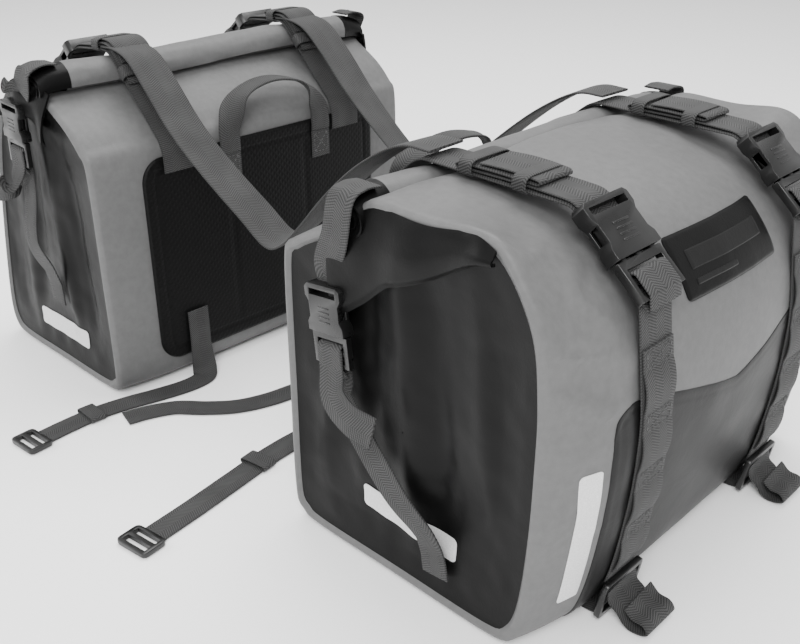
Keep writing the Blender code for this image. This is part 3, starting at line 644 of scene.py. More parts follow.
gussetMake = {"inset": 0.0026, "notchRadius": 0.0205, "clearOfRoll": 0.0212, "rimPoints": 220, "rings": 64,
              "heartZ": 0.135, "sag": 0.0035, "mostOut": 0.0032, "wall": 0.0014}


# The soft end panel: sags in from its welded band, with long folds down from the roll.
def endGusset(side, end):
    face = endSign[end]
    edge = halfLength - gussetMake["inset"]
    rim = pulledIn(sectionAt(side, edge), bagMake["cornerRadius"] + bagMake["flange"] - 0.001)
    rollAt = np.array([bagMake["rollU"], bagShape[side]["rollZ"]])
    rim = rim[np.linalg.norm(rim - rollAt, axis=1) > gussetMake["clearOfRoll"]]
    turns = np.radians((-20, -50, -80, -110))
    notch = rollAt + gussetMake["notchRadius"] * np.stack([np.cos(turns), np.sin(turns)], axis=1)
    rim = evenly(np.vstack([rim, notch, rim[:1]]), gussetMake["rimPoints"] + 1)[:-1]
    centre = np.array([rim[:, 0].mean(), gussetMake["heartZ"]])
    rings = []
    for share in np.linspace(1, 0, gussetMake["rings"]):
        run = centre + (rim - centre) * max(share, 0.004)
        depth = 1 - share
        out = np.full(len(run), -gussetMake["sag"] * np.clip(depth / 0.25, 0, 1))
        soft = np.clip(depth / 0.12, 0, 1)
        for topU, lowU, width, height, top, low in gussetFolds[side]:
            way = np.clip((run[:, 1] - low) / (top - low), 0, 1)
            middle = lowU + (topU - lowU) * way
            window = np.clip((run[:, 1] - low + 0.03) / 0.05, 0,
                             1) * np.clip((top + 0.03 - run[:, 1]) / 0.05, 0, 1)
            out += soft * height * window * bell(run[:, 0] - middle, width)
        places = np.stack([run[:, 0], np.full(len(run), face * 2.0), run[:, 1]], axis=1)
        pulled = places * np.array([1, 1, 0.45])
        out += soft * (ripple(pulled, 34.0, 0.0022, 2.2 if end == "front" else 6.0)
                       + ripple(places, 60.0, 0.0006))
        out = np.minimum(out, gussetMake["mostOut"])
        rings.append(intoFrame(side, run, 0) + np.stack([out * 0, face * (edge + out), out * 0], axis=1))
    gusset = gridPiece(f"{side}{end.capitalize()}Gusset", rings, blackCloth, closeAcross=True)
    faceTowards(gusset, Vector((0, face, 0)))
    thicken(gusset, gussetMake["wall"])
    smoothShade(gusset, 60)
    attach(gusset, side + "_bag")
    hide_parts(f"{side}_{end}_gusset")


for sideName in sideSign:
    bagShell(sideName)
    for endName in endSign:
        endGusset(sideName, endName)
print("shells and gussets made")


# A flat strap along a path, its width laid along across. Its UV runs over the width and along it, in metres.
def strapPiece(name, path, across, width, thickness, material, body):
    path = np.asarray(path, float)
    across = np.broadcast_to(np.asarray(across, float), path.shape).copy()
    along = np.gradient(path, axis=0)
    along /= np.maximum(np.linalg.norm(along, axis=1, keepdims=True), 1e-9)
    across -= (across * along).sum(1, keepdims=True) * along
    across /= np.maximum(np.linalg.norm(across, axis=1, keepdims=True), 1e-9)
    up = np.cross(along, across)
    half, rise = width / 2, thickness / 2
    # crowned a little in the middle, with rounded selvedges
    quarter = [(half, 0.0), (half - rise * 0.5, rise * 0.8), (half - rise * 1.6, rise),
               (half * 0.4, rise * 1.08)]
    top = [(-a, b) for a, b in quarter] + quarter[::-1]
    profile = np.array(top + [(a, -b) for a, b in top[-2:0:-1]])
    rows = path[:, None] + across[:, None] * profile[None, :, :1] + up[:, None] * profile[None, :, 1:]
    steps = np.r_[0, np.cumsum(np.linalg.norm(np.diff(path, axis=0), axis=1))]
    uv = np.stack(np.broadcast_arrays(profile[None, :, 0] + half, steps[:, None]), axis=2)
    piece = gridPiece(name, rows, material, closeAcross=True, capEnds=True, uv=uv)
    pointOut(piece)
    smoothShade(piece, 40)
    if body:
        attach(piece, body)
    return piece


# Rows of short stitches along lines of points; each stitch stands a little off the cloth.
def stitchPiece(name, lines, out, body, pitch=0.0042, stitch=0.0030, thread=0.00075):
    points, faces = [], []
    for line in lines:
        line = np.asarray(line, float)
        total = np.linalg.norm(np.diff(line, axis=0), axis=1).sum()
        count = max(2, int(total / pitch))
        spots = evenly(line, count * 2 + 1)
        for k in range(count):
            middle = spots[2 * k + 1]
            way = spots[2 * k + 2] - spots[2 * k]
            way = way / max(np.linalg.norm(way), 1e-9)
            up = np.asarray(out(middle), float)
            side = np.cross(way, up)
            base = len(points)
            for a, b in ((-0.5, 0.35), (-0.28, 1.0), (0.28, 1.0), (0.5, 0.35)):
                for c, d in ((-0.5, 0.0), (0.0, 0.6), (0.5, 0.0), (0.0, -0.6)):
                    points.append(middle + way * a * stitch + side * c * thread * b + up * d * thread * b)
            for ring in range(3):
                for j in range(4):
                    p, q = base + ring * 4 + j, base + ring * 4 + (j + 1) % 4
                    faces.append((p, q, q + 4, p + 4))
            faces += [tuple(base + j for j in (3, 2, 1, 0)), tuple(base + 12 + j for j in range(4))]
    mesh = bpy.data.meshes.new(name)
    mesh.from_pydata([tuple(p) for p in points], [], faces)
    mesh.update()
    piece = bpy.data.objects.new(name, mesh)
    bpy.context.scene.collection.objects.link(piece)
    mesh.materials.append(greyThread)
    pointOut(piece)
    smoothShade(piece, 60)
    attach(piece, body)


# The outer side of the bag at some heights, as (u, z).
def outerPoints(side, y, heights):
    run = surfaceRun(side, y, 0.0)
    low = int(np.argmax(np.where(run[:, 0] > 0.15, -run[:, 1], -9.0)))
    part = run[low:]
    part = part[:int(np.argmax(part[:, 1])) + 1]
    heights = np.asarray(heights, float)
    order = np.maximum.accumulate(part[:, 1])
    return np.stack([np.interp(heights, order, part[:, 0]), heights], axis=1)


coverMake = {
    "half": 0.150,
    "low": 0.0045,
    "corner": 0.197,          # height of the top at its two ends, and in its middle
    "vertex": 0.160,
    "cornerRadius": 0.026,
    "thick": 0.0011,
    "standsOff": 0.0010,
    "weldInset": 0.0065,
}


# The darker lower panel welded on the outer side: shallow V along its top, rounded top corners,
# a pressed weld line inside its edge.
def outerPanel(side):
    half, radius = coverMake["half"], coverMake["cornerRadius"]
    rows = []
    for y in np.linspace(-half, half, 121):
        top = coverMake["vertex"] + (coverMake["corner"] - coverMake["vertex"]) * (abs(y) / half) ** 1.15
        into = abs(y) - (half - radius)
        if into > 0:
            top -= radius - math.sqrt(max(radius**2 - into**2, 0.0))
        heights = np.linspace(coverMake["low"], top, 60)
        run = outerPoints(side, y, heights)
        edge = np.minimum(np.minimum(top - heights, half - abs(y)), heights - coverMake["low"])
        pressed = 0.0007 * bell(edge - coverMake["weldInset"], 0.0011) + 0.0006 * bell(edge, 0.0008)
        proud = coverMake["standsOff"] - pressed
        run = run - leftOf(run) * proud[:, None]
        rows.append(intoFrame(side, run, y))
    panel = gridPiece(side + "OuterPanel", rows, charcoalCloth)
    faceTowards(panel, Vector((sideSign[side], 0, 0)))
    thicken(panel, coverMake["thick"])
    smoothShade(panel, 50)
    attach(panel, side + "_bag")
    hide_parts(side + "_outer_cover")


# A thin panel with rounded corners laid on the outer side; bounds are y and height.
def outerApplique(name, side, alongY, upZ, kind, material):
    (lowY, highY), (lowZ, highZ) = alongY, upZ
    radius, lift, thick = (appliques[kind][k] for k in ("radius", "lift", "thick"))
    middleY, halfY = (lowY + highY) / 2, (highY - lowY) / 2
    rows = []
    ease = 0.5 - 0.5 * np.cos(np.linspace(0, math.pi, 40))
    for z in lowZ + (highZ - lowZ) * ease:
        into = max(0.0, radius - min(z - lowZ, highZ - z))
        wide = halfY - radius + math.sqrt(max(radius**2 - into**2, 0.0))
        line = []
        for share in np.linspace(-1, 1, 61):
            y = middleY + wide * share
            at = outerPoints(side, y, [z - 0.001, z, z + 0.001])
            out = -leftOf(at)[1]
            edge = min(halfY - abs(y - middleY), z - lowZ, highZ - z)
            crown = lift - thick * 0.5 * bell(edge, thick * 0.7)
            point = at[1] + out * crown
            line.append(intoFrame(side, [point], y)[0])
        rows.append(line)
    piece = gridPiece(name, rows, material)
    faceTowards(piece, Vector((sideSign[side], 0, 0)))
    thicken(piece, thick)
    smoothShade(piece, 50)
    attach(piece, side + "_bag")


appliques = {
    "stripY": (0.156, 0.174),
    "strip": {"radius": 0.003, "lift": 0.0006, "thick": 0.0005},
    "patch": {"radius": 0.004, "lift": 0.0018, "thick": 0.0016},
    "bar": {"radius": 0.0015, "lift": 0.0024, "thick": 0.0008},
    "stripZ": {"right": (0.040, 0.150), "left": (0.040, 0.140)},
    "patchY": (-0.060, 0.064),
    "patchZ": {"right": (0.234, 0.272), "left": (0.222, 0.262)},
    "bars": [(-0.046, 0.050, 0.44, 0.74),
             (-0.046, 0.006, 0.20, 0.30)],    # y from and to, shares of the patch's height
}
for sideName in sideSign:
    outerPanel(sideName)
    for endName, sign in endSign.items():
        spans = sorted(sign * y for y in appliques["stripY"])
        outerApplique(f"{sideName}{endName.capitalize()}ReflectiveStrip", sideName, spans,
                      appliques["stripZ"][sideName],
                      "strip", silverTape)
    low, high = appliques["patchZ"][sideName]
    outerApplique(sideName + "BlankPatch", sideName, appliques["patchY"], (low, high), "patch", patchRubber)
    for k, (startY, stopY, lowShare, highShare) in enumerate(appliques["bars"]):
        heights = [low + (high - low) * share for share in (lowShare, highShare)]
        outerApplique(f"{sideName}PatchBar{k + 1}", sideName, (startY, stopY), heights, "bar", charcoalCloth)
print("outer panels, strips and patches made")


panelMake = {
    "half": 0.150,
    "low": 0.024,
    "high": 0.238,
    "corner": 0.024,
    "thick": 0.0030,
    "skin": 0.0012,
    "gap": 0.0003,
    "borderInset": 0.013,
    "channels": (-0.05, 0.05),
}


# The stiff pad against the carrier: a rounded rectangle with a pressed border and two long pressed channels.
def backPanel(side):
    half, low, high, radius = (panelMake[k] for k in ("half", "low", "high", "corner"))
    rows = []
    ease = np.unique(np.r_[0.5 - 0.5 * np.cos(np.linspace(0, math.pi, 70)), np.linspace(0.15, 0.85, 60)])
    for z in low + (high - low) * ease:
        into = max(0.0, radius - min(z - low, high - z))
        wide = half - radius + math.sqrt(max(radius**2 - into**2, 0.0))
        line = []
        for share in np.sin(np.linspace(-1, 1, 121) * math.pi / 2):
            y = wide * share
            edge = min(wide - abs(y), z - low, high - z)
            pressed = 0.55 * bell(edge, 0.0016) + 0.35 * bell(edge - panelMake["borderInset"], 0.0016)
            inside = min(1.0, max(0.0, (edge - 0.016) / 0.006))
            for channel in panelMake["channels"]:
                pressed += 0.35 * inside * bell(y - channel, 0.0022)
            height = panelMake["thick"] * (1 - pressed)
            line.append((innerFace[side] - sideSign[side] * (panelMake["gap"] + height), y, z))
        rows.append(line)
    panel = gridPiece(side + "BackPanel", rows, gripSheet)
    faceTowards(panel, Vector((-sideSign[side], 0, 0)))
    thicken(panel, panelMake["skin"])
    smoothShade(panel, 50)
    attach(panel, side + "_bag")
    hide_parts(side + "_back_panel", side + "_back_board")


rollMake = {
    "turns": 2.3,
    "turnPoints": 78,
    "core": 0.0042,
    "sheet": 0.0016,
    "greyHalf": 0.178,        # the grey part's half length, and the whole roll's
    "half": 0.1985,
    "pinch": 0.10,            # how much the straps squeeze it
    "flat": 0.94,
    "seam": math.radians(200),
}


# One layer-by-layer spiral section of the rolled mouth, closed round its own thickness.
def rollSection(radius):
    turn = np.linspace(0, rollMake["turns"] * 2 * math.pi, rollMake["turnPoints"])
    out = radius - (radius - rollMake["core"]) * turn / turn[-1]
    inner = out - rollMake["sheet"]
    angle = rollMake["seam"] - turn
    outer = np.stack([out * np.cos(angle), out * np.sin(angle) * rollMake["flat"]], axis=1)
    back = np.stack([inner * np.cos(angle), inner * np.sin(angle) * rollMake["flat"]], axis=1)[::-1]
    return np.vstack([outer, back])


def rollTop(side):
    shape = bagShape[side]
    sign = sideSign[side]

    def rowAt(y, droop=0.0, tighten=1.0, lean=0.0):
        radius = bagMake["rollRadius"] * tighten
        run = rollSection(radius * (1 - rollMake["pinch"] * bell(abs(y) - bagMake["strapY"], 0.022)))
        turnBy = noise.noise(Vector((y * 9, sign * 2.0, 0.3))) * 0.10
        run = run @ np.array([[math.cos(turnBy), math.sin(turnBy)], [-math.sin(turnBy), math.cos(turnBy)]])
        places = np.stack([run[:, 0] * 4, np.full(len(run), y), run[:, 1] * 4 + sign], axis=1)
        run = run * (1 + ripple(places, 42.0, 0.05, 3.3)[:, None])
        run = run + np.array([bagMake["rollU"] + lean, shape["rollZ"] + 0.0012 * math.sin(y * 21) - droop])
        return intoFrame(side, run, y)

    greyRows = [rowAt(y) for y in np.linspace(-rollMake["greyHalf"], rollMake["greyHalf"], 110)]
    grey = gridPiece(side + "RollTop", greyRows, greyCloth, closeAcross=True)
    finishRoll(grey, side)
    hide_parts(side + "_roll_top")
    for endName, face in endSign.items():
        rows = []
        for share in np.linspace(0, 1, 16):
            y = face * (rollMake["greyHalf"] - 0.004 + share
                        * (rollMake["half"] - rollMake["greyHalf"] + 0.010))
            rows.append(rowAt(y, droop=0.006 * share**2, tighten=1.035 - 0.10 * share, lean=0.002 * share))
        black = gridPiece(f"{side}{endName.capitalize()}RollEnd", rows, blackCloth, closeAcross=True)
        finishRoll(black, side)


# Closes the two open ends of a swept section, strip by strip across its thickness.
def fillEnds(piece):
    work = bmesh.new()
    work.from_mesh(piece.data)
    work.verts.ensure_lookup_table()
    across = 2 * rollMake["turnPoints"]
    for base in (0, len(work.verts) - across):
        for k in range(across // 2 - 1):
            a, b = work.verts[base + k], work.verts[base + k + 1]
            c, d = work.verts[base + across - 2 - k], work.verts[base + across - 1 - k]
            work.faces.new((a, b, c, d))
    work.to_mesh(piece.data)
    work.free()


def finishRoll(piece, side):
    fillEnds(piece)
    pointOut(piece)
    smoothShade(piece, 45)
    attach(piece, side + "_bag")


endTrim = {
    "strip": {"right": (0.130, 0.057), "left": (0.111, 0.043)},
    "stripSize": (0.094, 0.020),
    "stripCorner": 0.004,
    "tape": 0.0005,
    "tilt": {"right": -0.05, "left": 0.0},
    "flapFrom": 0.058,
    "flapTo": {"right": 0.206, "left": 0.158},
    "flapDrop": {"right": 0.064, "left": 0.040},
    "flapWall": 0.0022,
}


# Reflective tape laid on the soft end panel, following its folds.
def endStrip(side, end):
    gusset = bpy.data.objects[f"{side}{end.capitalize()}Gusset"].data
    tree = BVHTree.FromPolygons([v.co for v in gusset.vertices], [tuple(p.vertices) for p in gusset.polygons])
    face = endSign[end]
    middleU, middleZ = endTrim["strip"][side]
    halfWide, halfHigh = (size / 2 for size in endTrim["stripSize"])
    radius = endTrim["stripCorner"]
    rows = []
    for b in halfHigh * np.sin(np.linspace(-1, 1, 22) * math.pi / 2):
        into = max(0.0, abs(b) - (halfHigh - radius))
        reach = halfWide - radius + math.sqrt(max(radius**2 - into**2, 0.0))
        line = []
        for a in np.linspace(-reach, reach, 60):
            u, z = middleU + a, middleZ + b + a * endTrim["tilt"][side]
            x = innerFace[side] + sideSign[side] * u
            hit = tree.ray_cast(Vector((x, face * 0.5, z)), Vector((0, -face, 0)))[0]
            line.append((x, (hit.y if hit else face * halfLength) + face * 0.0009, z))
        rows.append(line)
    strip = gridPiece(f"{side}{end.capitalize()}EndStrip", rows, silverTape)
    faceTowards(strip, Vector((0, face, 0)))
    thicken(strip, endTrim["tape"])
    smoothShade(strip, 50)
    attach(strip, side + "_bag")


# The corner of the rolled mouth sheet, folded down over the end panel and creased towards the roll.
def endFlap(side, end):
    face = endSign[end]
    section = pulledIn(sectionAt(side, halfLength), 0.004)
    top = section[int(np.argmax(section[:, 0])):]
    top = top[np.argsort(top[:, 0])]
    rollZ = bagShape[side]["rollZ"]
    crest = [(0.050, rollZ - 0.010), (0.066, rollZ - 0.004), (0.085, rollZ + 0.002)]
    crest += [(u, float(np.interp(u, top[:, 0], top[:, 1]))) for u in np.linspace(0.108,
            endTrim["flapTo"][side], 8)]
    crest = curveThrough([(a, b, 0.0) for a, b in crest], 120)[:, :2]
    rows = []
    spread = np.linspace(endTrim["flapFrom"], endTrim["flapTo"][side], 60)
    for share, u in zip(np.linspace(0, 1, 60), spread):
        high = float(np.interp(u, crest[:, 0], crest[:, 1]))
        drop = 0.010 + endTrim["flapDrop"][side] * (1 - share) ** 0.9
        line = []
        for t in np.linspace(0, 1, 34):
            crumple = noise.noise(Vector((u * 40, t * 2, face * 3.0)))
            crease = 0.0016 * (math.sin(share * 13 + t * 2.2) * (0.4 + t) + crumple)
            out = 0.0015 + 0.0075 * math.sin(min(t * 1.15, 1) * math.pi * 0.62) * (1 - 0.45 * share) + crease
            out -= 0.0035 * bell(1 - t, 0.06)
            across = u + 0.012 * t * (1 - share)
            line.append((innerFace[side] + sideSign[side] * across, face * (halfLength - 0.001 + out),
                         high - drop * t))
        rows.append(line)
    flap = gridPiece(f"{side}{end.capitalize()}MouthFlap", rows, blackCloth)
    faceTowards(flap, Vector((0, face, 0)))
    thicken(flap, endTrim["flapWall"])
    smoothShade(flap, 60)
    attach(flap, side + "_bag")


for sideName in sideSign:
    backPanel(sideName)
    rollTop(sideName)
    for endName in endSign:
        endStrip(sideName, endName)
        endFlap(sideName, endName)
print("back panels, rolled mouths and end trim made")


wide = {"width": 0.038, "thick": 0.0016}
narrow = {"width": 0.025, "thick": 0.0016}
buckleSeat = {
    # mouth of the buckle and the way out of it, as (u, z), on the tight straps and on the ends
    "right": {"mouth": (0.2394, 0.2750), "along": (0.7467, -0.6652), "span": 0.0737,
              "endMouth": (0.066, 0.198), "endAlong": (0.1152, -0.9933), "anchor": (0.160, 0.048)},
    "left": {"mouth": (0.1648, 0.2925), "along": (0.7769, -0.6296), "span": 0.0747,
             "endMouth": (0.118, 0.249), "endAlong": (0.0404, -0.9992), "anchor": (0.104, 0.096)},
}
strapFoot = 0.040
strapTop = (-0.0040, 0.238)    # where a tight strap leaves the back panel
closingLines = {}


# The line a tight strap takes from the back panel, over the roll and down the outer side, as (out, up).
def closingLine(side):
    if side in closingLines:
        return closingLines[side]
    seat = buckleSeat[side]
    mouth, along = np.array(seat["mouth"]), np.array(seat["along"])
    one = mouth - along * 0.046
    two = one + along * seat["span"]
    turns = np.linspace(0, 2 * math.pi, 48, endpoint=False)
    rollAt = np.array([bagMake["rollU"], bagShape[side]["rollZ"]])
    roll = rollAt + (bagMake["rollRadius"] + 0.0006) * np.stack([np.cos(turns), np.sin(turns)], axis=1)
    panel = coverMake["thick"] + coverMake["standsOff"]
    points = np.vstack([surfaceRun(side, bagMake["strapY"], panel), roll, [one], [two], [strapTop]])
    outline = np.array(hullOf(points))
    outline = np.roll(outline, -nearest(outline, strapTop), axis=0)
    stop = next(k for k, p in enumerate(outline) if p[0] > 0.15 and p[1] < 0.030)
    line = evenly(np.vstack([[(strapTop[0], strapTop[1] - 0.016)], outline[:stop + 1]]), 700)
    line[1:-1] = softened(line, 30)[1:-1]
    closingLines[side] = line + leftOf(line) * (wide["thick"] / 2)
    return closingLines[side]


def nearest(line, point):
    return int(np.argmin(np.linalg.norm(line - np.asarray(point), axis=1)))


# A strap that runs across the bag: line is its run as (u, z), y is where it lies along the bag.
def bagStrap(name, side, line, y, sizes, material, body, lean=None):
    path = intoFrame(side, line, y)
    if lean is not None:
        path[:, 1] += lean
    return strapPiece(name, path, (0, 1, 0), sizes["width"], sizes["thick"], material, body)


def raised(line, height):
    return line + leftOf(line) * np.asarray(height).reshape(-1, 1)


# Outlines of a stitched box with its cross, on a strap lying in the (u, z) plane.
def boxStitch(side, line, y, start, length, width):
    steps = np.r_[0, np.cumsum(np.linalg.norm(np.diff(line, axis=0), axis=1))]

    def at(s, a):
        point = [np.interp(start + s, steps, line[:, k]) for k in (0, 1)]
        return intoFrame(side, [point], y + a)[0]

    half = width / 2 - 0.004
    corners = [(0, -half), (0, half), (length, half), (length, -half), (0, -half), (length, half)]
    path = [np.array([at(s0 + (s1 - s0) * t, a0 + (a1 - a0) * t) for t in np.linspace(0, 1, 12)])
            for (s0, a0), (s1, a1) in zip(corners, corners[1:])]
    path.append(np.array([at(length * t, half - 2 * half * t) for t in np.linspace(0, 1, 12)]))
    return path


def outwardOf(side, line):
    out = leftOf(line)

    def find(point):
        u = (point[0] - innerFace[side]) * sideSign[side]
        k = nearest(line, (u, point[2]))
        return np.array([out[k][0] * sideSign[side], 0.0, out[k][1]])

    return find


# A line with its length so far at each point, to find places by length.
def measured(line):
    return line, leftOf(line), np.r_[0, np.cumsum(np.linalg.norm(np.diff(line, axis=0), axis=1))]


def placesAlong(measuredLine, spots):
    line, normals, steps = measuredLine
    return [np.stack([np.interp(spots, steps, run[:, k]) for k in (0, 1)], axis=-1) for run in (line,
            normals)]


tailFold = {
    "lies": 0.108,            # how far the free end comes back over the strap
    "sizes": {"width": 0.0372, "thick": 0.0015},
    "layers": (0.0021, 0.0035, 0.0052, 0.0066,
               0.0083),    # heights of its three layers and of the two folds between
    "bulge": 0.0011,
    "keepers": (0.052, 0.098),    # back from the buckle
    "keeper": {"halfWide": 0.0212, "middle": 0.0042, "halfHigh": 0.0062, "width": 0.012, "thick": 0.0012},
}


# The free end comes back over the strap and is folded flat under its two elastic keepers.
def foldedTail(side, label, run, backAt, y, bag):
    turnAt = backAt - tailFold["lies"]
    first, foldOne, second, foldTwo, third = tailFold["layers"]

    def layer(fromStep, toStep, height, count):
        base, out = placesAlong(run, np.linspace(fromStep, toStep, count))
        bulge = height + tailFold["bulge"] * np.sin(np.linspace(0, math.pi, count))
        return base + out * bulge[:, None]

    tail = [layer(backAt + 0.001, turnAt, first, 40), layer(turnAt - 0.0015, turnAt - 0.0015, foldOne, 2)[:1],
            layer(turnAt, backAt - 0.040, second, 26),
            layer(backAt - 0.0385, backAt - 0.0385, foldTwo, 2)[:1],
            layer(backAt - 0.040, turnAt + 0.018, third, 22)]
    fold = softened(evenly(np.vstack(tail), 170), 2)
    lean = np.linspace(0, 0.0018, len(fold)) * np.sin(np.linspace(0, 9, len(fold)))
    bagStrap(label + "FoldedTail", side, fold, y + 0.001, tailFold["sizes"], wideWebbing, bag, lean=lean)
    made = tailFold["keeper"]
    for k, back in enumerate(tailFold["keepers"]):
        base, normal = placesAlong(run, backAt - back)
        ring = [intoFrame(side, [base + normal * b], y + a)[0] for a, b in keeperRing(made)]
        way = np.array([normal[1] * sideSign[side], 0, -normal[0]])
        strapPiece(f"{label}Keeper{k + 1}", ring, way, made["width"], made["thick"], narrowWebbing, bag)


# A flattened ring round a strap, as (across, up).
def keeperRing(made):
    ring = []
    for angle in np.linspace(0, 2 * math.pi, 49):
        a = made["halfWide"] * math.copysign(abs(math.cos(angle)) ** 0.35, math.cos(angle))
        b = made["middle"] + made["halfHigh"] * math.copysign(abs(math.sin(angle)) ** 0.6, math.sin(angle))
        ring.append((a, b))
    return ring


daisyMake = {
    "sizes": {"width": 0.0365, "thick": 0.0015},
    "pitch": 0.046,           # about, from one sewn box to the next
    "rest": 0.0017,
    "loop": 0.0021,
    "flatShare": 0.34,
    "boxShare": 0.26,
    "thread": 0.0027,
}


# The lower strap, from its loop on the tongue down to the ladder-lock, with a row of sewn loops on it.
def lowerStrap(side, end, label, lower, y, bag):
    bagStrap(label + "LowerStrap", side, lower, y, wide, wideWebbing, bag)
    daisyLine, _, run = measured(lower[int(len(lower) * 0.20):-14])
    loops = max(3, round(run[-1] / daisyMake["pitch"]))
    pitch = run[-1] / loops
    phase = (run % pitch) / pitch
    arch = np.sin(np.clip((phase - daisyMake["flatShare"]) / (1 - daisyMake["flatShare"]), 0, 1) * math.pi)
    daisy = raised(daisyLine, daisyMake["rest"] + daisyMake["loop"] * np.clip(arch, 0, 1) ** 0.8)
    piece = bagStrap(label + "DaisyLoops", side, daisy, y, daisyMake["sizes"], wideWebbing, bag)
    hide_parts(f"{side}_{end}_daisy_strap")
    onTop = raised(daisyLine, daisyMake["thread"])
    lines = []
    for k in range(loops):
        lines += boxStitch(side, onTop, y, k * pitch + 0.002, pitch * daisyMake["boxShare"],
                           daisyMake["sizes"]["width"])
    stitchPiece(label + "DaisyStitching", lines, outwardOf(side, onTop), bag)


def compressionStraps(side, end):
    y = endSign[end] * bagMake["strapY"]
    bag = side + "_bag"
    label = f"{side}{end.capitalize()}"
    mouth, along = (np.array(buckleSeat[side][k]) for k in ("mouth", "along"))
    line = closingLine(side)
    back = nearest(line, mouth - along * 0.034)
    piece = bagStrap(label + "TopStrap", side, line[:back], y, wide, wideWebbing, bag)
    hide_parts(f"{side}_{end}_compression_strap")
    run = measured(line)
    foldedTail(side, label, run, run[2][back], y, bag)
    begin = nearest(line, mouth + along * 0.013)
    foot = next(k for k in range(begin, len(line)) if line[k][1] < strapFoot)
    lowerStrap(side, end, label, line[begin:foot + 6], y, bag)


for sideName in sideSign:
    for endName in endSign:
        compressionStraps(sideName, endName)
print("compression straps made")


# A frame whose x runs across a buckle, y out of its mouth and z off the bag.
def buckleFrame(side, seat, along, y, outY=0):
    sign = sideSign[side]
    origin = intoFrame(side, [seat], y)[0]
    forward = Vector((sign * along[0], 0, along[1])).normalized()
    out = Vector((0, outY, 0)) if outY else Vector((sign * -along[1], 0, along[0])).normalized()
    across = forward.cross(out)
    made = Matrix((across, forward, out)).transposed().to_4x4()
    made.translation = Vector(origin)
    return made


# A moulded piece with its edges eased, in place of the plain solid.
def easedCopy(node, material, ease=0.0007):
    source = frame["nodes"][node]
    mesh = source.data.copy()
    mesh.transform(source.matrix_world)
    piece = bpy.data.objects.new(node.title().replace("_", "") + "Moulded", mesh)
    bpy.context.scene.collection.objects.link(piece)
    work = bmesh.new()
    work.from_mesh(mesh)
    bmesh.ops.remove_doubles(work, verts=work.verts, dist=1e-5)
    bmesh.ops.dissolve_limit(work, angle_limit=math.radians(1), verts=work.verts, edges=work.edges)
    work.to_mesh(mesh)
    work.free()
    modifier = piece.modifiers.new("edges", "BEVEL")
    modifier.width = ease
    modifier.segments = 2
    modifier.limit_method = "ANGLE"
    modifier.angle_limit = math.radians(35)
    applyModifiers(piece)
    mesh = piece.data
    mesh.materials.clear()
    mesh.materials.append(material)
    for face in mesh.polygons:
        face.material_index = 0
    smoothShade(piece, 35)
    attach(piece, node if node in frame["bodies"] else node.split("_")[0] + "_bag")
    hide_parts(node)
    return piece


# A small bar with rounded edges in a buckle's own frame.
def mouldedBar(name, at, centre, size, body, material, ease=0.0006):
    bpy.ops.object.select_all(action="DESELECT")
    bpy.ops.mesh.primitive_cube_add(size=1)
    piece = bpy.context.object
    piece.name = name
    piece.data.transform(at @ Matrix.Translation(centre) @ Matrix.Diagonal((*size, 1)))
    modifier = piece.modifiers.new("edges", "BEVEL")
    modifier.width = min(ease, min(size) * 0.45)
    modifier.segments = 3
    applyModifiers(piece)
    piece.data.materials.append(material)
    smoothShade(piece, 40)
    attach(piece, body)


# Webbing looped round a bar across a buckle: in under, round and back, in the buckle's own y-z plane.
def barLoop(name, at, barY, lift, sizes, material, body):
    low, reach = buckleMake["loopLow"], buckleMake["loopReach"]
    turns = np.linspace(-math.pi / 2, math.pi / 2, 12)
    path = [(barY + reach * t, low) for t in (1.0, 0.65, 0.3)]
    path += [(barY - math.cos(t) * lift * 0.42, low + lift / 2 + math.sin(t) * lift / 2) for t in turns]
    path += [(barY + reach * t, low + lift) for t in (0.3, 0.65)] + [(barY + reach, low * 2)]
    path = evenly(path, 60)
    world = [at @ Vector((0, a, b)) for a, b in path]
    across = at.to_3x3() @ Vector((1, 0, 0))
    strapPiece(name, world, across, sizes["width"] * buckleMake["loopShare"], sizes["thick"], material, body)


buckleMake = {
    # sizes of the wide buckle; the narrow one is scaled down
    "thick": 0.012,
    "firstGrip": 0.010,
    "gripPitch": 0.0042,
    "gripRib": (0.0016, 0.0012),
    "gripShare": 0.46,
    "barAt": 0.0137,
    "loopLow": 0.0019,
    "loopReach": 0.0225,
    "loopShare": 0.96,
}


def buckles(side, end):
    label = f"{side}{end.capitalize()}"
    seat = buckleSeat[side]
    face = endSign[end]
    for kind, y, mouth, along, outY, sizes, cloth in (
            ("compression", face * bagMake["strapY"], seat["mouth"], seat["along"], 0, wide, wideWebbing),
            ("end", face * (halfLength + 0.0025), seat["endMouth"], seat["endAlong"], face, narrow,
             narrowWebbing)):
        scale = 0.6 + 0.4 * sizes["width"] / wide["width"]
        at = buckleFrame(side, mouth, along, y, outY)
        easedCopy(f"{side}_{end}_{kind}_housing", blackPlastic)
        easedCopy(f"{side}_{end}_{kind}_tongue", blackPlastic)
        body = f"{side}_{end}_{kind}_tongue"
        thick = buckleMake["thick"] * scale
        rib = (sizes["width"] * buckleMake["gripShare"], *(size * scale for size in buckleMake["gripRib"]))
        for k in range(4):
            back = (buckleMake["firstGrip"] + buckleMake["gripPitch"] * k) * scale
            mouldedBar(f"{label}{kind.capitalize()}Grip{k + 1}", at, (0, -back, thick), rib, side + "_bag",
                       blackPlastic)
        barLoop(f"{label}{kind.capitalize()}TongueLoop", at, buckleMake["barAt"] * scale, thick - 0.0034,
                sizes, cloth, body)


# the free end's curl beyond the ladder-lock, as (out, up)
ladderCurl = [(0.008, 0.0125), (0.014, 0.0050), (0.020, 0.0020), (0.028, 0.0028), (0.033, 0.0060),
              (0.029, 0.0115),
              (0.020, 0.0125), (0.013, 0.0185)]
anchorSizes = {"width": 0.036, "thick": 0.0014}


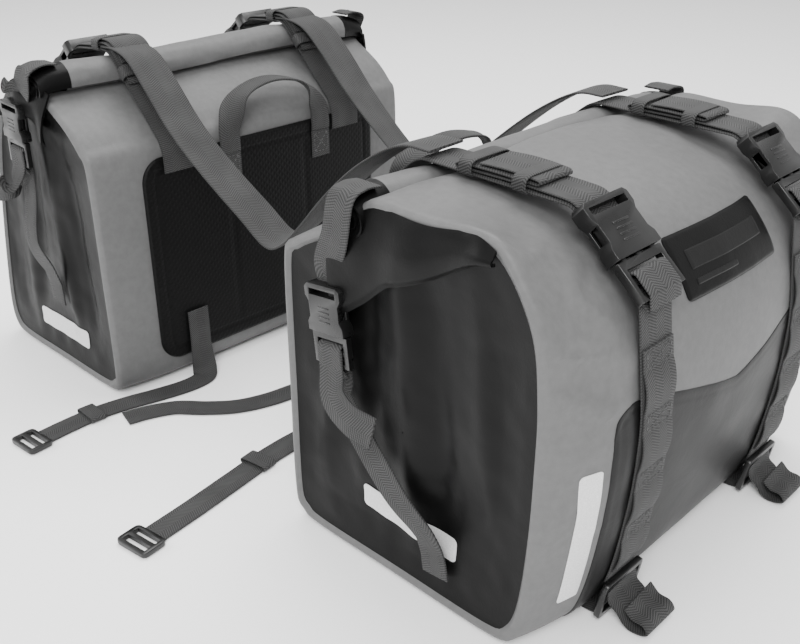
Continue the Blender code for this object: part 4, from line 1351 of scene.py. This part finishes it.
def ladderLock(side, end):
    node = f"{side}_{end}_ladder_lock"
    easedCopy(node, blackPlastic)
    line = closingLine(side)
    y = endSign[end] * bagMake["strapY"]
    foot = next(k for k in range(len(line) // 2, len(line)) if line[k][1] < strapFoot)
    down = line[foot] - line[foot - 20]
    down /= np.linalg.norm(down)
    out = np.array([-down[1], down[0]])
    start = line[foot] + down * 0.010 + out * 0.004
    # the free end leaves over the lower bar and curls out on the ground
    points = [start, start + down * 0.010 + out * 0.004]
    points += [(start[0] + across, high) for across, high in ladderCurl]
    tail = curveThrough(points, 70)
    lean = 0.004 * np.sin(np.linspace(0, 2.2, 70))
    bagStrap(f"{side}{end.capitalize()}LadderTail", side, tail, y, wide, wideWebbing, node, lean=lean)
    # the short anchor that holds the ladder-lock to the seam of the base
    hold = [start + down * 0.006 - out * 0.002, start + down * 0.020 - out * 0.0035,
            (start[0] - 0.010, 0.0026), (start[0] - 0.030, 0.0012)]
    label = f"{side}{end.capitalize()}BaseAnchor"
    bagStrap(label, side, curveThrough(hold, 30), y, anchorSizes, wideWebbing, side + "_bag")


# A path on a bag's end from ((u, z), how far out along the bag) places.
def endRoute(side, end, places, count):
    path = curveThrough([(spot[0], endSign[end] * out, spot[1]) for spot, out in places], count)
    path[:, 0] = innerFace[side] + sideSign[side] * path[:, 0]
    return path


# The tab comes out of the roll's end and runs down to the housing; the end strap hangs slack from the tongue
# to its sewn anchor low on the end; its free end hangs loose.
def endStrap(side, end):
    label = f"{side}{end.capitalize()}"
    bag = side + "_bag"
    mouth, along, anchor = (np.array(buckleSeat[side][k]) for k in ("endMouth", "endAlong", "anchor"))
    plane = halfLength + 0.0040
    roll = np.array([bagMake["rollU"], bagShape[side]["rollZ"]])
    top = mouth - along * 0.0385
    tab = [(roll + (0, 0.0165), plane - 0.022), (roll + (0, 0.0175), plane - 0.008),
           (roll + (0.001, 0.012), plane + 0.005),
           (roll + 0.35 * (top - roll), plane + 0.005), (top - along * 0.010, plane + 0.001), (top, plane),
           (top + along * 0.006, plane)]
    piece = strapPiece(label + "EndTab", endRoute(side, end, tab, 60), (1, 0, 0), *narrow.values(),
                       narrowWebbing, bag)
    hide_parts(f"{side}_{end}_end_tab")
    flat = halfLength + 0.0033
    clear = mouth + along * 0.058
    slack = [(mouth + along * 0.012, flat), (mouth + along * 0.036, flat), (clear, flat + 0.0006),
             ((clear + anchor) / 2 + (0.010, -0.002), flat + 0.0060), (anchor + (-0.004, 0.020),
                     flat + 0.0035),
             (anchor, flat - 0.0022), (anchor + (0.002, -0.020), flat - 0.0040)]
    path = endRoute(side, end, slack, 90)
    piece = strapPiece(label + "EndStrap", path, (1, 0, 0.05), *narrow.values(), narrowWebbing, bag)
    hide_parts(f"{side}_{end}_end_strap")
    tail = [(mouth + along * 0.0115, plane + 0.0068), (mouth + along * 0.030, plane + 0.0078),
            (mouth + along * 0.046 + (0.006, 0), plane + 0.0140),
            (mouth + along * 0.056 + (0.026, 0.002), plane + 0.0180),
            (mouth + along * 0.060 + (0.048, 0.004), plane + 0.0175)]
    turn = np.clip(np.linspace(-0.6, 1.4, 60), 0, 1)[:, None]
    across = np.array([[1, 0, 0.12]]) * (1 - turn) + np.array([[-0.15 * sideSign[side], 0.25, 1.0]]) * turn
    strapPiece(label + "EndLooseTail", endRoute(side, end, tail, 60), across, *narrow.values(), narrowWebbing,
               f"{side}_{end}_end_tongue")


for sideName in sideSign:
    for endName in endSign:
        buckles(sideName, endName)
        ladderLock(sideName, endName)
        endStrap(sideName, endName)
print("buckles, ladder-locks and end straps made")


handleMake = {
    "base": 0.226,            # height of the hinge line, at the top of the feet
    "foot": 0.030,
    "thick": 0.0024,
    "footThick": 0.0016,
    "offFace": 0.0048,
    "stitchHalf": 0.009,
    "stitchZ": (-0.024, -0.004),
}


# A webbing grip: flat on the panel at its sewn feet, turned a quarter so that its top lies level.
def carryHandle(side):
    node = side + "_carry_handle"
    low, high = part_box(node)
    sign = sideSign[side]
    base, peak = handleMake["base"], high.z - 0.004
    half, y = (high.y - low.y - narrow["width"]) / 2, (high.y + low.y) / 2
    face = innerFace[side] - sign * handleMake["offFace"]
    # how far each point leans towards the bag, its height and its share of the half width
    leg = [(0, base, 1), (0, base + 0.010, 1), (0.0015, base + 0.026, 0.97), (0.0065, peak - 0.010, 0.72),
           (0.010, peak, 0.25)]
    points = [(face + sign * lean, y - half * share, z) for lean, z, share in leg]
    points += [(face + sign * lean, y + half * share, z) for lean, z, share in leg[::-1]]
    path = curveThrough(points, 120)
    share = np.linspace(0, 1, 120)
    level = np.clip(np.minimum(share, 1 - share) / 0.30 - 0.25, 0, 1)
    level = level * level * (3 - 2 * level)
    across = np.stack([level, np.where(share < 0.5, 1, -1) * (1 - level), 0 * level], axis=1)
    piece = strapPiece(side + "CarryHandle", path, across, narrow["width"], handleMake["thick"],
                       narrowWebbing, node)
    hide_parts(node)
    for k, middle in enumerate((y - half, y + half)):
        heights = np.linspace(base - handleMake["foot"], base - 0.0006, 14)
        foot = [(face + sign * 0.0007, middle, z) for z in heights]
        strapPiece(f"{side}HandleFoot{k + 1}", foot, (0, 1, 0), narrow["width"], handleMake["footThick"],
                   narrowWebbing,
                   side + "_bag")
        x = face - sign * 0.0003
        a, b = middle - handleMake["stitchHalf"], middle + handleMake["stitchHalf"]
        c, d = (base + z for z in handleMake["stitchZ"])
        around = [(x, a, c), (x, b, c), (x, b, d), (x, a, d), (x, a, c)]
        box = [list(pair) for pair in zip(around, around[1:])]
        box += [[(x, a, c), (x, b, d)], [(x, a, d), (x, b, c)]]
        stitchPiece(f"{side}HandleStitching{k + 1}", box, lambda point: (-sign, 0, 0), side + "_bag")


for sideName in sideSign:
    carryHandle(sideName)
print("carry handles made")


yokeMake = {
    # line of the strap as (x, z), from the left roll, through its hang, to the right roll
    "route": [(-0.214, 0.3285), (-0.192, 0.3290), (-0.168, 0.3225), (-0.140, 0.300), (-0.104, 0.267),
              (-0.062, 0.236), (-0.018, 0.207),
              (0.012, 0.188), (0.034, 0.194), (0.062, 0.219), (0.096, 0.252), (0.134, 0.284), (0.166,
                      0.305), (0.190, 0.3150), (0.214, 0.3158)],
    "bend": ((0.115, 0.0, 0.27), (-0.145, 0.0, 0.27)),
}


def yokeStrap(end):
    y = endSign[end] * bagMake["strapY"]
    route = [(x + pairShift, y, z) for x, z in yokeMake["route"]][::-1]
    path = curveThrough(route, 260)
    share = np.linspace(0, 1, len(path))
    hang = np.sin(share * math.pi)
    path[:, 1] += hang * 0.006 * np.sin(share * 7 + endSign[end])
    across = np.stack([0.10 * np.sin(share * 9) * hang, np.ones(len(share)),
                       0.12 * np.sin(share * 6.0 + endSign[end]) * hang], axis=1)
    strap = strapPiece(end + "YokeStrap", path, across, wide["width"], wide["thick"] + 0.0004, wideWebbing,
                       None)
    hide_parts(f"{end}_yoke_strap")
    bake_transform(strap)


for endName in endSign:
    yokeStrap(endName)


tieMake = {
    "leftStrap": [(-0.1245, -0.106, 0.072), (-0.1240, -0.106, 0.050), (-0.1225, -0.107, 0.026),
                  (-0.116, -0.110, 0.0070),
                  (-0.109, -0.118, 0.0016), (-0.108, -0.140, 0.0011), (-0.114, -0.170, 0.0011), (-0.122,
                          -0.200, 0.0011),
                  (-0.127, -0.230, 0.0011), (-0.127, -0.262, 0.0011), (-0.125, -0.290, 0.0011)],
    "leftTail": [(-0.098, -0.218, 0.0011), (-0.092, -0.196, 0.0011), (-0.080, -0.172, 0.0011),
                 (-0.058, -0.152, 0.0011),
                 (-0.038, -0.128, 0.0011), (-0.026, -0.098, 0.0011), (-0.020, -0.064, 0.0011)],
    "rightStrap": [(0.1245, 0.030, 0.072), (0.1240, 0.030, 0.050), (0.1225, 0.029, 0.026),
                   (0.116, 0.026, 0.0070),
                   (0.106, 0.020, 0.0016), (0.088, 0.002, 0.0011), (0.070, -0.030, 0.0011), (0.056, -0.072,
                           0.0011),
                   (0.050, -0.116, 0.0011), (0.052, -0.160, 0.0011), (0.059, -0.205, 0.0011), (0.067,
                           -0.255, 0.0011),
                   (0.073, -0.300, 0.0011)],
}


# Across-directions of a strap that hangs flat on the panel and then lies flat on the ground.
def groundAcross(path):
    made = []
    for k, here in enumerate(path):
        way = path[min(k + 1, len(path) - 1)] - path[max(k - 1, 0)]
        level = np.array([-way[1], way[0], 0.0])
        size = np.linalg.norm(level)
        level = level / size if size > 1e-6 else np.array([0.0, 1.0, 0.0])
        if level[1] < 0:
            level = -level
        if made and level @ made[-1] < 0:
            level = -level
        share = min(1.0, max(0.0, (0.030 - here[2]) / 0.026))
        across = np.array([0.0, 1.0, 0.0]) * (1 - share) + level * share
        made.append(across / np.linalg.norm(across))
    return np.array(made)


def tieDown(name, key, nodes, body, count=150):
    path = curveThrough([(x + pairShift, y, z) for x, y, z in tieMake[key]], count)
    strap = strapPiece(name, path, groundAcross(path), narrow["width"], narrow["thick"], narrowWebbing, body)
    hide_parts(nodes[0])
    extra = [easedCopy(node, blackPlastic) for node in nodes[1:]]
    return path


sliderMake = {
    "halfWide": 0.0142,
    "middle": 0.0020,
    "halfHigh": 0.0026,
    "width": 0.016,
    "thick": 0.0012,
    "at": {"left": 118, "right": 104},    # which of the strap's 150 points it sits on
}


# A slider of doubled webbing, wrapped round a strap that lies on the ground.
def slider(name, path, at, side):
    here = path[at]
    way = path[at + 1] - path[at - 1]
    way /= np.linalg.norm(way)
    across = np.array([-way[1], way[0], 0.0])
    up = np.array([0.0, 0.0, 1.0])
    ring = [here + across * a + up * b for a, b in keeperRing(sliderMake)]
    strapPiece(name, ring, way, sliderMake["width"], sliderMake["thick"], narrowWebbing, side + "_bag")


leftPath = tieDown("LeftTieDown", "leftStrap", ["left_tie_down_strap", "left_tie_down_buckle"], "left_bag")
rightPath = tieDown("RightTieDown", "rightStrap", ["right_tie_down_strap", "right_tie_down_buckle"],
                    "right_bag")
slider("LeftTieDownKeeper", leftPath, sliderMake["at"]["left"], "left")
slider("RightTieDownKeeper", rightPath, sliderMake["at"]["right"], "right")
tieDown("LeftTieDownTail", "leftTail", ["left_tie_down_tail"], "left_bag", 90)
print("free straps laid")


# Any solid that no piece stands in for is hard plastic.
for node in frame["nodes"].values():
    if not node.hide_render:
        node.data.materials.clear()
        node.data.materials.append(blackPlastic)


studio = {
    "backdrop": "#ffffff",
    "ground": "#ffffff",
    "sky": 0.95,
    # name, place, size, power
    "lights": [("key", (1.2, -1.4, 1.7), (1.1, 1.0), 62), ("fill", (-1.7, -1.2, 1.3), (1.2, 1.2), 24),
               ("top", (-0.3, 0.5, 2.2), (1.6, 1.6), 62)],
}


def makeStudio():
    bpy.ops.object.select_all(action="DESELECT")
    bpy.ops.mesh.primitive_plane_add(size=16, location=(0, 0, -0.0006))
    ground = bpy.context.object
    ground.name = "studioFloor"
    made, _, shader = newMaterial("paleStudioFloor")
    shader.inputs["Base Color"].default_value = linearColour(studio["ground"])
    shader.inputs["Roughness"].default_value = 0.85
    ground.data.materials.append(made)
    world = bpy.context.scene.world or bpy.data.worlds.new("studio")
    bpy.context.scene.world = world
    world.use_nodes = True
    shade = world.node_tree.nodes["Background"]
    shade.inputs["Color"].default_value = linearColour(studio["backdrop"])
    shade.inputs["Strength"].default_value = studio["sky"]
    for name, place, size, power in studio["lights"]:
        lamp = bpy.data.lights.new(name, "AREA")
        lamp.shape = "RECTANGLE"
        lamp.size, lamp.size_y = size
        lamp.energy = power
        light = bpy.data.objects.new(name, lamp)
        light.location = place
        light.rotation_euler = (Vector((0, 0, 0.12)) - Vector(place)).to_track_quat("-Z", "Y").to_euler()
        bpy.context.scene.collection.objects.link(light)


threeQuarter = {
    "place": (0.6562, -0.629, 0.524),
    "right": (0.7193, 0.6947, 0),
    "up": (-0.3121, 0.3232, 0.8934),
    "back": (0.6206, -0.6426, 0.4493),
    "lens": 45,
    "sensor": 36,
}


def makeCamera():
    view = bpy.data.cameras.new("threeQuarterView")
    view.lens = threeQuarter["lens"]
    view.sensor_width = threeQuarter["sensor"]
    view.clip_end = 30
    camera = bpy.data.objects.new("threeQuarterView", view)
    turned = Matrix([threeQuarter[k] for k in ("right", "up", "back")]).transposed().to_4x4()
    turned.translation = Vector(threeQuarter["place"])
    camera.matrix_world = turned
    bpy.context.scene.collection.objects.link(camera)
    bpy.context.scene.camera = camera


makeStudio()
makeCamera()
print("studio and camera set")
